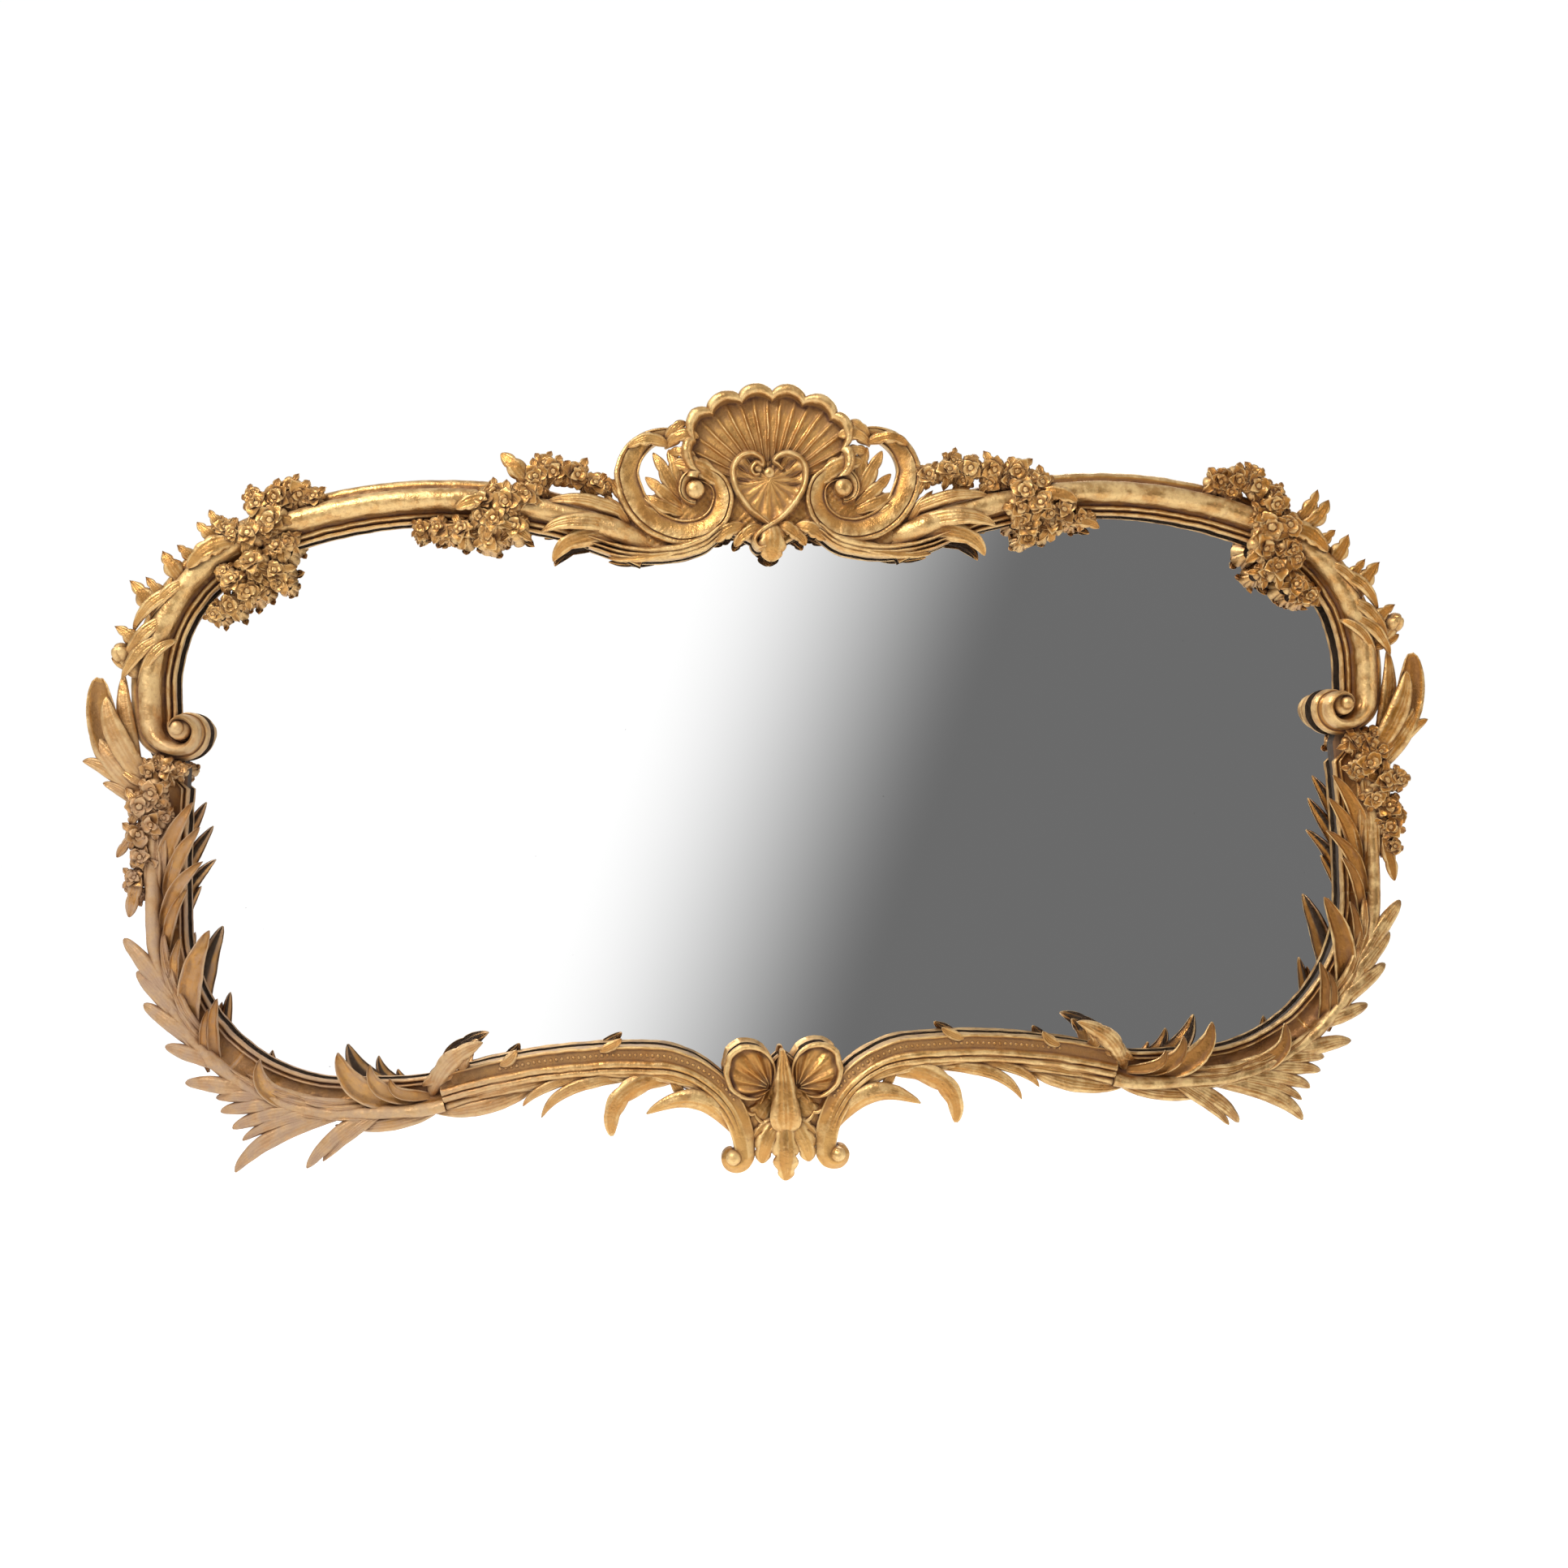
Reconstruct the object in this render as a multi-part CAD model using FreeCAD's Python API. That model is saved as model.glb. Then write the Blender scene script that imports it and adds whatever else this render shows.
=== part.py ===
import FreeCAD, Part
import math
import os

# Giltwood overmantel mirror: carved mouldings planted on a half-lapped pine
# frame, which holds the plate, the backboards and two ring hangers.
# X runs to the viewer's right, Z up, and the wall is the plane Y = 0.
# Each carved piece is drawn for the right half and mirrored for the left.

Vector = FreeCAD.Vector

# Depths, measured from the wall forwards
backboard_thickness = 10.0
rear_layer_thickness = 10.0
front_layer_thickness = 10.0
plate_thickness = 4.0

# Upper scroll: a wide arch, a round shoulder and a volute at mid height
arch_radius = 570.0
arch_middle_x = 390.0
arch_top_z = 341.0
arch_start_x = 167.0
shoulder_edge_x = 720.0
shoulder_radius = 190.0
top_rail_width = 52.0
top_rail_height = 37.0
top_cluster_reach = 62.7
corner_cluster_lead = 65.8
corner_cluster_tail = 77.5
scroll_run = 34.0
scroll_turn_radii = (33.0, 20.0, 15.0)
scroll_eye_radius = 8.0
scroll_disc_radius = 19.0
scroll_height = 46.0
scroll_disc_height = 20.0

# Palm branch: side, lower corner and a short run towards the middle
palm_side_x = 710.5
palm_side_radius = 2124.0
palm_corner_radius = 208.0
palm_width = 45.0
palm_height = 31.0
rise_height = 5.5
side_clearance = 20.7

# Beaded band below the plate, with its turned-out foot
band_top_x = 204.0
band_top_z = -325.0
band_radius = 752.0
band_start_x = 400.0
band_turn_x = 150.0
band_turn_radius = 110.0
band_width = 44.0
band_height = 33.0
foot_turn_radii = (12.0, 9.0, 6.0)
curl_turn_radii = (30.0, 80.0)
curl_width = 17.0
curl_height = 40.0
curl_inset = 4.0
curl_rise = 14.0
curl_head_radius = 9.0

# Crest: fluted shell, heart-shaped cabochon and two C-scrolls
shell_centre_z = 350.0
shell_radius = 118.0
shell_root_radius = 22.0
shell_lip = 7.0
shell_plate_height = 14.0
shell_rib_radius = 15.5
heart_half_width = 43.0
heart_top_z = 391.0
heart_tip_z = 303.0
heart_height = 34.0
heart_bevel = 11.0
carving_play = 0.3
crest_drop_tip_z = 265.0
crest_scroll_start_x = 112.0
crest_scroll_start_z = 416.0
crest_scroll_radii = (46.0, 70.0, 40.0, 26.0, 18.0, 12.0)
crest_scroll_width = 30.0
crest_scroll_height = 40.0
crest_eye_radius = 6.0

# Pendant shell below the plate, between the two feet of the band
pendant_root_z = -316.0
pendant_base_z = -402.0
pendant_rib_radius = 13.0
pendant_ear_x = 40.0
pendant_ear_z = -329.0
pendant_ear_radius = 21.0
pendant_plate_height = 16.0
pendant_tip_z = -469.0
pendant_drop_width = 50.0

# Leaves and flowers, applied all over the frame
leaf_height = 27.0
flower_height = 44.0
flower_dome = 8.0

# Pine frame behind the carving, as distances from the rail's middle line
frame_outer = 16.0
frame_inner = 19.0
rebate_width = 6.0
plate_play = 1.0
backboard_overlap = 6.0
crest_edge_x = 120.0
crest_edge_z = 324.0
base_edge_x = 70.0
base_edge_z = -364.0
side_kink_inset = 3.0
side_kink_rise = 33.4
plank_top_z = 430.0
plank_top_x = 55.0
plank_waist_x = 88.0
plank_waist_z = 372.0
plank_base_x = 140.0
plank_base_z = 335.0
lap_length = 60.0
top_joint_x = 250.0
top_joint_z = 200.0
side_joint_drop = 10.0
corner_joint_drop = 51.5
peg_radius = 4.0
peg_fit = 0.1

# Backboards, glazing blocks and ring hangers
backboard_count = 5
backboard_gap = 0.6
block_length = 40.0
block_width = 8.0
hanger_inset = 3.0
hanger_rise = 0.73
strap_width = 14.0
strap_length = 46.0
strap_thickness = 1.5
barrel_length = 8.0
ring_wire_radius = 1.6
ring_play = 0.3
ring_outer_width = 19.0
ring_side_length = 8.0
ring_corner_radius = 2.6
screw_pitch = 11.0
screw_shank_radius = 1.5
screw_fit = 0.1
screw_depth = 8.0
screw_head_radius = 3.2
screw_head_height = 1.4

# Spare length by which a cutting solid passes the faces that it cuts
overrun = 30.0

# Sections of the three rails: place across as a share of half the width,
# height as a share of the rail's height, and the bulge of the stretch that
# ends there as a share of its length
top_section_shares = (
    (-1.0, 0.0, 0.0), (-1.0, 0.22, 0.0), (-0.7, 0.22, 0.42), (-0.62, 0.15, 0.0),
    (-0.56, 0.5, 0.0), (0.62, 0.5, 0.46), (0.68, 0.2, 0.0), (1.0, 0.2, 0.4), (1.0, 0.0, 0.0))
palm_section_shares = (
    (-1.0, 0.0, 0.0), (-1.0, 0.35, 0.0), (-0.66, 0.35, 0.42), (0.3, 0.68, -0.2),
    (0.82, 0.72, 0.4), (1.0, 0.4, 0.0), (1.0, 0.0, 0.0))
band_section_shares = (
    (-1.0, 0.0, 0.0), (-1.0, 0.7, 0.0), (-0.66, 0.72, 0.4), (0.4, 0.66, 0.12),
    (0.84, 0.7, 0.4), (1.0, 0.3, 0.0), (1.0, 0.0, 0.0))
scroll_section_shares = ((-1.0, 0.0, 0.0), (-1.0, 0.55, 0.0), (1.0, 0.55, 0.3), (1.0, 0.0, 0.0))
channel_shares = ((-1.0, 0.0, 0.0), (-1.0, 1.0, 0.0), (1.0, 1.0, 0.0), (1.0, 0.0, 0.0))

# Joints between the carved pieces: angles on their arcs, and the side's share
top_cluster_angle = 98.3
side_cluster_end_share = 0.1
palm_joint_angle = -50.0
# Turns of the crest scrolls and of the band's curl, in degrees
crest_sweep_angles = (90.0, 75.0, 105.0, 90.0, 90.0, 90.0)
curl_sweep_angles = (60.0, -25.0)
turn_step_angle = 18.0
right_angle = 90.0
# Angles of the glazing blocks on each arc
arch_block_angles = (101.0, 80.0)
shoulder_block_angle = 38.0
side_block_share = 0.44
corner_block_angle = -45.0
band_block_angle = 84.0

# Flowers: place along from a joint, place out from the rail's middle and radius,
# as shares of half the rail's width, or along the side as a share of its length
top_flower_shares = (
    (2.68, 2.04, 0.74), (1.49, 2.12, 0.74), (0.42, 1.74, 0.74), (-0.65, 1.16, 0.74), (0.65, 0.2, 0.8),
    (-1.26, -1.02, 0.72), (0.0, -1.55, 0.76), (1.19, -1.3, 0.72))
corner_flower_shares = (
    (2.2, 2.08, 0.72), (1.35, 1.95, 0.78), (0.38, 1.8, 0.76), (-0.64, 1.42, 0.76), (0.33, 0.2, 0.8),
    (0.78, -1.2, 0.78), (0.3, -2.3, 0.78), (-1.26, -2.55, 0.74), (-2.66, -2.4, 0.7))
side_flower_shares = (
    (0.92, 0.05, 0.66), (0.81, 1.36, 0.78), (0.68, 1.66, 0.74), (0.52, 1.6, 0.76), (0.37, 1.66, 0.72))

# Leaves: places along and out at the root, the same at the tip, and the width,
# as shares as above, and the bow as a share of length. On the palm branch, the
# band, its foot and the crest the place along is an angle on the arc.
top_leaf_shares = (
    (0.42, 1.2, -0.42, 2.5, 0.55, 0.1), (-1.19, -1.2, -3.18, -1.6, 0.5, 0.05),
    (2.64, 1.8, 3.86, 2.2, 0.5, -0.05))
corner_leaf_shares = (
    (-0.3, 1.1, -1.29, 2.42, 0.7, 0.08), (1.99, 2.0, 1.48, 3.1, 0.5, -0.05))
shoulder_leaf_shares = (
    (-0.89, 0.7, -0.13, 2.0, 0.75, 0.12), (-2.93, 0.7, -1.72, 1.95, 0.8, 0.12),
    (-5.23, 0.75, -3.7, 1.5, 0.6, 0.1))
spray_leaf_shares = (
    (-1.79, 0.5, 0.59, 1.9, 0.85, 0.12), (-2.42, 0.2, -1.4, 2.75, 0.85, 0.1),
    (-2.93, -0.2, -2.37, 3.4, 0.85, 0.08), (-2.81, -0.6, -2.73, 2.6, 0.6, 0.0))
side_leaf_shares = (
    (0.4, 0.0, 0.76, -1.55, 0.55, 0.12), (0.32, -0.2, 0.64, -1.9, 0.5, 0.12),
    (0.15, -0.2, 0.41, -2.05, 0.5, 0.14), (0.12, -0.4, 0.25, -1.35, 0.45, 0.1),
    (0.36, 1.5, 0.09, 1.95, 0.6, 0.05))
palm_side_leaf_shares = (
    (-22.0, -0.3, -2.9, -2.6, 0.9, 0.14), (-40.0, -0.6, -28.8, -1.9, 0.75, 0.1),
    (-10.5, 0.7, -3.0, 2.15, 0.6, -0.1), (-19.5, 0.8, -12.3, 1.6, 0.6, -0.1),
    (-30.0, 0.7, -21.6, 1.85, 0.65, -0.1), (-43.0, 0.8, -34.5, 2.1, 0.65, -0.1))
palm_foot_leaf_shares = (
    (-55.0, 0.7, -44.7, 2.5, 0.6, -0.1), (-64.0, 0.7, -55.8, 2.4, 0.6, -0.1),
    (-73.0, 0.8, -60.7, 3.0, 0.7, -0.1), (-86.0, 0.8, -64.8, 4.7, 0.9, -0.14),
    (-97.5, 0.6, -79.3, 3.7, 0.85, -0.12), (-70.0, 0.3, -57.7, -1.4, 0.7, 0.12),
    (-95.0, -0.2, -87.2, -2.4, 0.8, 0.12), (-104.0, -0.2, -97.9, -1.75, 0.65, 0.1))
band_leaf_shares = (
    (85.4, 0.3, 81.65, 1.6, 0.65, 0.1), (88.0, 0.6, 83.3, 2.4, 0.8, 0.14),
    (92.0, 0.4, 90.2, 3.65, 1.3, 0.16))
foot_leaf_shares = ((128.0, 0.45, 87.0, 2.55, 0.8, 0.14),)
crest_leaf_shares = ((-45.0, 0.8, -90.0, 1.5, 1.6, -0.1),)

# Sections along a leaf: place along, width and height as shares
leaf_station_shares = (
    (0.0, 0.55, 0.7), (0.25, 0.9, 1.0), (0.5, 1.0, 1.0), (0.75, 0.72, 0.85), (1.0, 0.06, 0.4))
# Half widths of the tapering scrolls at the ends of their turns, as shares
volute_taper_shares = (1.0, 0.44, 0.28, 0.2)
foot_taper_shares = (1.0, 0.45, 0.33, 0.25, 0.18)
crest_taper_shares = (0.4, 0.85, 1.0, 0.66, 0.52, 0.4, 0.3)
curl_taper_shares = (0.7, 1.0, 0.75)
# Heart outline on the right: places across and up as shares, between its arcs
heart_outline_shares = ((0.0, 0.9), (0.55, 1.0), (1.0, 0.78), (0.78, 0.36), (0.0, 0.0))
# Angles of the ribs of the two shells from their middle line
shell_rib_angles = (-63.0, -49.0, -33.0, -16.5, 0.0, 16.5, 33.0, 49.0, 63.0)
shell_reach_shares = (0.58, 1.0, 1.0, 1.0, 1.0, 1.0, 1.0, 1.0, 0.58)
pendant_rib_angles = (-38.0, -20.0, 0.0, 20.0, 38.0)
pendant_reach_shares = (1.0, 1.0, 1.0, 1.0, 1.0)
# Places of the pegs along each lap
peg_place_shares = (0.25, 0.75)
flower_petals = 5
# One petal's outline: place along the petal and reach, as shares
petal_outline_shares = ((0.0, 0.68), (0.25, 0.94), (0.5, 1.0), (0.75, 0.94))
flower_dome_share = 0.4
# Flat steps by which a round stretch of a scroll's section is drawn
bend_steps = 4

# Working values
rear_plane = -backboard_thickness
lap_plane = rear_plane - rear_layer_thickness
front_plane = lap_plane - front_layer_thickness
top_half = top_rail_width / 2
palm_half = palm_width / 2
band_half = band_width / 2


class Arc:
    """A rail's middle line: an arc in the XZ plane, with outwards as a sign."""

    def __init__(self, centre_x, centre_z, radius, outwards):
        self.centre = Vector(centre_x, 0, centre_z)
        self.radius = radius
        self.outwards = outwards

    def place(self, angle, out, depth=0.0):
        """The point at an angle in degrees, a distance out from the middle line."""
        reach = self.radius + self.outwards * out
        turn = math.radians(angle)
        return self.centre + Vector(reach * math.cos(turn), depth, reach * math.sin(turn))

    def angle_at_x(self, x, upper):
        """The angle of the middle line's point above x."""
        across = math.degrees(math.acos((x - self.centre.x) / self.radius))
        return across if upper else -across


def arch_arc():
    return Arc(arch_middle_x, arch_top_z - arch_radius, arch_radius, 1)


def shoulder_arc():
    """The shoulder leaves the arch without a kink and ends upright at its edge."""
    across = shoulder_edge_x - shoulder_radius - arch.centre.x
    reach = arch.radius - shoulder_radius
    rise_z = math.sqrt(reach * reach - across * across)
    return Arc(arch.centre.x + across, arch.centre.z + rise_z, shoulder_radius, 1)


def corner_arc():
    base_z = band.place(band_start_angle, 0).z - rise_height
    return Arc(palm_side_x - palm_corner_radius, base_z + palm_corner_radius, palm_corner_radius, 1)


def side_arc():
    return Arc(palm_side_x - palm_side_radius, corner.centre.z, palm_side_radius, 1)


def band_arc():
    return Arc(band_top_x, band_top_z - band_radius, band_radius, -1)


def rise_arc():
    """The short arc that lifts the palm branch into the line of the band."""
    start = band.place(band_start_angle, 0)
    slope = math.radians(right_angle - band_start_angle)
    radius = rise_height / (1 - math.cos(slope))
    return Arc(start.x + radius * math.sin(slope), start.z - rise_height + radius, radius, 1)


def turn_arc():
    """The band's turn down to its foot, tangent to the band."""
    centre = band.place(band_turn_angle, band_turn_radius)
    return Arc(centre.x, centre.z, band_turn_radius, -1)


def degrees_along(arc, length):
    return math.degrees(length / arc.radius)


arch = arch_arc()
arch_start = arch.angle_at_x(arch_start_x, True)
top_cluster_start = top_cluster_angle + degrees_along(arch, top_cluster_reach)
top_cluster_end = top_cluster_angle - degrees_along(arch, top_cluster_reach)
shoulder = shoulder_arc()
shoulder_start = math.degrees(math.atan2(shoulder.centre.z - arch.centre.z,
                                         shoulder.centre.x - arch.centre.x))
corner_cluster_start = shoulder_start + degrees_along(arch, corner_cluster_lead)
corner_cluster_end = shoulder_start - degrees_along(shoulder, corner_cluster_tail)
band = band_arc()
band_start_angle = band.angle_at_x(band_start_x, True)
band_turn_angle = band.angle_at_x(band_turn_x, True)
corner = corner_arc()
side = side_arc()
side_top_z = shoulder.centre.z - scroll_run - scroll_turn_radii[0] - side_clearance
side_start = math.degrees(math.asin((side_top_z - side.centre.z) / palm_side_radius))
side_cluster_end = side_cluster_end_share * side_start
side_kink = Vector(shoulder_edge_x - side_kink_inset, 0, side_top_z + side_kink_rise)
side_joint_z = side_kink.z - side_joint_drop
corner_joint_z = corner.centre.z - corner_joint_drop
hanger_x = shoulder_edge_x + hanger_inset
hanger_top_z = shoulder.centre.z + hanger_rise
rise = rise_arc()
turn = turn_arc()
rise_end = -right_angle - (right_angle - band_start_angle)


def section_edges(origin, across, half_width, height, shares):
    """Edges of a closed rail section that stands forward of the frame's face."""
    forwards = Vector(0, -1, 0)

    def spot(row):
        return origin + across * (row[0] * half_width) + forwards * (row[1] * height)

    edges = []
    for before, after in zip(shares, shares[1:]):
        start, end = spot(before), spot(after)
        if after[2]:
            chord = end - start
            normal = chord.cross(across.cross(forwards))
            middle = (start + end) / 2 - normal * after[2]
            edges.append(Part.Arc(start, middle, end).toShape())
        else:
            edges.append(Part.makeLine(start, end))
    edges.append(Part.makeLine(spot(shares[-1]), spot(shares[0])))
    return edges


def rail(arc, start, end, half_width, height, shares):
    """A rail section turned about an arc's centre between two angles."""
    origin = arc.place(start, 0, front_plane)
    across = (arc.place(start, half_width) - arc.place(start, 0)) / half_width
    face = Part.Face(Part.Wire(section_edges(origin, across, half_width, height, shares)))
    return face.revolve(arc.centre, Vector(0, -1, 0), end - start)


def straight_rail(start, end, half_width, height, shares, across):
    """A rail section carried along a straight run."""
    origin = Vector(start.x, front_plane, start.z)
    face = Part.Face(Part.Wire(section_edges(origin, across, half_width, height, shares)))
    return face.extrude(Vector(end.x - start.x, 0, end.z - start.z))


def left_of(heading):
    """The direction to the left of a heading in degrees."""
    facing = math.radians(heading)
    return Vector(-math.sin(facing), 0, math.cos(facing))


def turned_path(start, heading, turns, tapers):
    """Points, headings and tapers along tangent arcs of (radius, degrees to the left)."""
    stations = [(start, heading, tapers[0])]
    spot = start
    for (radius, sweep), before, after in zip(turns, tapers, tapers[1:]):
        inwards = math.copysign(radius, sweep)
        centre = spot + left_of(heading) * inwards
        steps = math.ceil(abs(sweep) / turn_step_angle)
        for step in range(1, steps + 1):
            facing = heading + sweep * step / steps
            taper = before + (after - before) * step / steps
            stations.append((centre - left_of(facing) * inwards, facing, taper))
        spot, heading, _ = stations[-1]
    return stations


def section_ring(origin, across, half_width, height, shares):
    """Points round a section, with its bulging stretches drawn in flat steps."""
    forwards = Vector(0, -1, 0)
    spots = [origin + across * (row[0] * half_width) + forwards * (row[1] * height) for row in shares]
    ring = spots[:1]
    for row, start, end in zip(shares[1:], spots, spots[1:]):
        chord = end - start
        normal = chord.cross(across.cross(forwards))
        for step in range(1, bend_steps if row[2] else 1):
            place = step / bend_steps
            ring.append(start + chord * place - normal * (4 * row[2] * place * (1 - place)))
        ring.append(end)
    return ring


def flat_face(spots):
    return Part.Face(Part.makePolygon(spots + spots[:1]))


def skinned(rings):
    """A solid with flat facets between closed rings of points."""
    faces = [flat_face(rings[0]), flat_face(rings[-1])]
    for low, high in zip(rings, rings[1:]):
        for spot in range(len(low)):
            before = spot - 1
            faces.append(flat_face([low[before], low[spot], high[spot]]))
            faces.append(flat_face([low[before], high[spot], high[before]]))
    shell = Part.Shell(faces)
    shell.sewShape()
    solid = Part.Solid(shell)
    if solid.Volume < 0:
        solid.reverse()
    return solid


def scroll(stations, half_width, height, shares):
    """A rail section carried along turned stations with a taper."""
    rings = []
    for spot, heading, taper in stations:
        origin = Vector(spot.x, front_plane, spot.z)
        rise_share = (1 + taper) / 2
        rings.append(section_ring(
            origin, left_of(heading), half_width * taper, height * rise_share, shares))
    return skinned(rings)


def leaf(root, tip, width, bow, height):
    """A pointed leaf with a ridge along its bowed spine."""
    along = tip - root
    sideways = Vector(-along.z, 0, along.x)
    rings = []
    for place, width_share, height_share in leaf_station_shares:
        spot = root + along * place + sideways * (4 * bow * place * (1 - place))
        facing = along + sideways * (4 * bow * (1 - 2 * place))
        across = Vector(-facing.z, 0, facing.x).normalize() * (width * width_share / 2)
        base = Vector(spot.x, front_plane, spot.z)
        ridge = base + Vector(0, -height * height_share, 0)
        rings.append([base - across, ridge, base + across])
    return skinned(rings)


def leaves(arc, half_width, middle, spread, rows):
    """Leaves placed along and out from a rail, at an angle and its spread."""
    made = []
    for root_along, root_out, tip_along, tip_out, width, bow in rows:
        root = arc.place(middle + root_along * spread, root_out * half_width)
        tip = arc.place(middle + tip_along * spread, tip_out * half_width)
        made.append(leaf(root, tip, width * half_width, bow * arc.outwards, leaf_height))
    return made


def petal_ring(spot, radius, depth):
    """Points round a flower's lobed outline at a depth."""
    step = 2 * math.pi / flower_petals
    ring = []
    for petal in range(flower_petals):
        for place, reach in petal_outline_shares:
            facing = (petal + place) * step
            ring.append(Vector(spot.x + math.cos(facing) * radius * reach, depth,
                               spot.z + math.sin(facing) * radius * reach))
    return ring


def flower(spot, radius):
    """A five-petalled flower that closes towards a raised middle."""
    rim = front_plane + flower_dome - flower_height
    return skinned([petal_ring(spot, radius, front_plane), petal_ring(spot, radius, rim),
                    petal_ring(spot, radius * flower_dome_share, rim - flower_dome)])


def flowers(arc, half_width, middle, spread, rows):
    """Flowers placed along and out from a rail, at an angle and its spread."""
    made = []
    for along, out, radius in rows:
        spot = arc.place(middle + along * spread, out * half_width)
        made.append(flower(spot, radius * half_width))
    return made


def joined(shapes):
    """One solid from shapes that run into each other."""
    whole = shapes[0].multiFuse(shapes[1:]) if len(shapes) > 1 else shapes[0]
    whole = whole.removeSplitter()
    return whole.Solids[0] if len(whole.Solids) == 1 else whole


def forward_of_frame(shape):
    """The part of a shape that lies forward of the frame's face."""
    box = shape.BoundBox
    cutter = Part.makeBox(box.XLength + 2 * overrun, box.YLength + overrun, box.ZLength + 2 * overrun,
                          Vector(box.XMin - overrun, front_plane, box.ZMin - overrun))
    return shape.cut(cutter)


def top_rail_inner():
    return rail(arch, arch_start, top_cluster_start, top_half, top_rail_height, top_section_shares)


def top_cluster():
    block = rail(arch, top_cluster_start, top_cluster_end, top_half, top_rail_height, top_section_shares)
    spread = degrees_along(arch, top_half)
    return joined([block] + flowers(arch, top_half, top_cluster_angle, spread, top_flower_shares)
                  + leaves(arch, top_half, top_cluster_angle, spread, top_leaf_shares))


def top_rail_outer():
    return rail(arch, top_cluster_end, corner_cluster_start, top_half, top_rail_height, top_section_shares)


def corner_cluster():
    blocks = [rail(arch, corner_cluster_start, shoulder_start, top_half, top_rail_height,
                   top_section_shares),
              rail(shoulder, shoulder_start, corner_cluster_end, top_half, top_rail_height,
                   top_section_shares)]
    spread = degrees_along(shoulder, top_half)
    return joined(blocks + flowers(shoulder, top_half, shoulder_start, spread, corner_flower_shares)
                  + leaves(shoulder, top_half, shoulder_start, spread, corner_leaf_shares))


def shoulder_scroll():
    """The shoulder, its run down and the volute, with the leaf spray behind it."""
    bend = rail(shoulder, corner_cluster_end, 0, top_half, top_rail_height, top_section_shares)
    start = shoulder.place(0, 0)
    end = start - Vector(0, 0, scroll_run)
    run = straight_rail(start, end, top_half, top_rail_height, top_section_shares, Vector(1, 0, 0))
    quarter_turns = [(radius, -right_angle) for radius in scroll_turn_radii]
    stations = turned_path(end, -right_angle, quarter_turns, volute_taper_shares)
    curl = scroll(stations, top_half, scroll_height, scroll_section_shares)
    last = stations[-1][0]
    eye_spot = Vector(last.x, front_plane, last.z - scroll_turn_radii[-1])
    disc = Part.makeCylinder(scroll_disc_radius, scroll_disc_height, eye_spot, Vector(0, -1, 0))
    eye = Part.makeCone(scroll_eye_radius, scroll_eye_radius / 2, scroll_height, eye_spot,
                        Vector(0, -1, 0))
    spread = degrees_along(shoulder, top_half)
    return joined([bend, run, curl, disc, eye]
                  + leaves(shoulder, top_half, corner_cluster_end, spread, shoulder_leaf_shares)
                  + leaves(shoulder, top_half, 0, spread, spray_leaf_shares))


def side_cluster():
    block = rail(side, side_start, side_cluster_end, palm_half, palm_height, palm_section_shares)
    return joined([block] + flowers(side, palm_half, 0, side_start, side_flower_shares)
                  + leaves(side, palm_half, 0, side_start, side_leaf_shares))


def palm_side():
    blocks = [rail(side, side_cluster_end, 0, palm_half, palm_height, palm_section_shares),
              rail(corner, 0, palm_joint_angle, palm_half, palm_height, palm_section_shares)]
    return joined(blocks + leaves(corner, palm_half, 0, 1, palm_side_leaf_shares))


def palm_foot():
    run_start = corner.place(-right_angle, 0)
    run_end = rise.place(-right_angle, 0)
    blocks = [rail(corner, palm_joint_angle, -right_angle, palm_half, palm_height, palm_section_shares),
              straight_rail(run_start, run_end, palm_half, palm_height, palm_section_shares,
                            Vector(0, 0, -1)),
              rail(rise, -right_angle, rise_end, palm_half, palm_height, palm_section_shares)]
    return joined(blocks + leaves(corner, palm_half, 0, 1, palm_foot_leaf_shares))


def beaded_scroll():
    """The band with its foot, its drooping leaves and the curl on its outer end."""
    length = rail(band, band_start_angle, band_turn_angle, band_half, band_height, band_section_shares)
    start = turn.place(band_turn_angle, 0)
    half_turn = 2 * right_angle
    turns = [(band_turn_radius, half_turn - band_turn_angle)]
    turns += [(radius, right_angle) for radius in foot_turn_radii]
    stations = turned_path(start, band_turn_angle + right_angle, turns, foot_taper_shares)
    foot = scroll(stations, band_half, band_height, band_section_shares)
    last = stations[-1][0]
    eye_spot = Vector(last.x, front_plane, last.z - foot_turn_radii[-1])
    disc = Part.makeCylinder(foot_turn_radii[1], band_height / 2, eye_spot, Vector(0, -1, 0))
    return joined([length, foot, disc] + band_curl() + leaves(band, band_half, 0, 1, band_leaf_shares)
                  + leaves(turn, band_half, 0, 1, foot_leaf_shares))


def band_curl():
    """The leaf that rises from the band's outer end and ends in a knob."""
    end = band.place(band_start_angle, 0)
    root = Vector(end.x - curl_inset - curl_width / 2, 0, end.z + curl_rise)
    path = turned_path(root, right_angle, list(zip(curl_turn_radii, curl_sweep_angles)), curl_taper_shares)
    head = path[-1][0]
    knob = Part.makeCone(curl_head_radius, curl_head_radius / 2, curl_height,
                         Vector(head.x, front_plane, head.z), Vector(0, -1, 0))
    return [scroll(path, curl_width / 2, curl_height, scroll_section_shares), knob]


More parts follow.
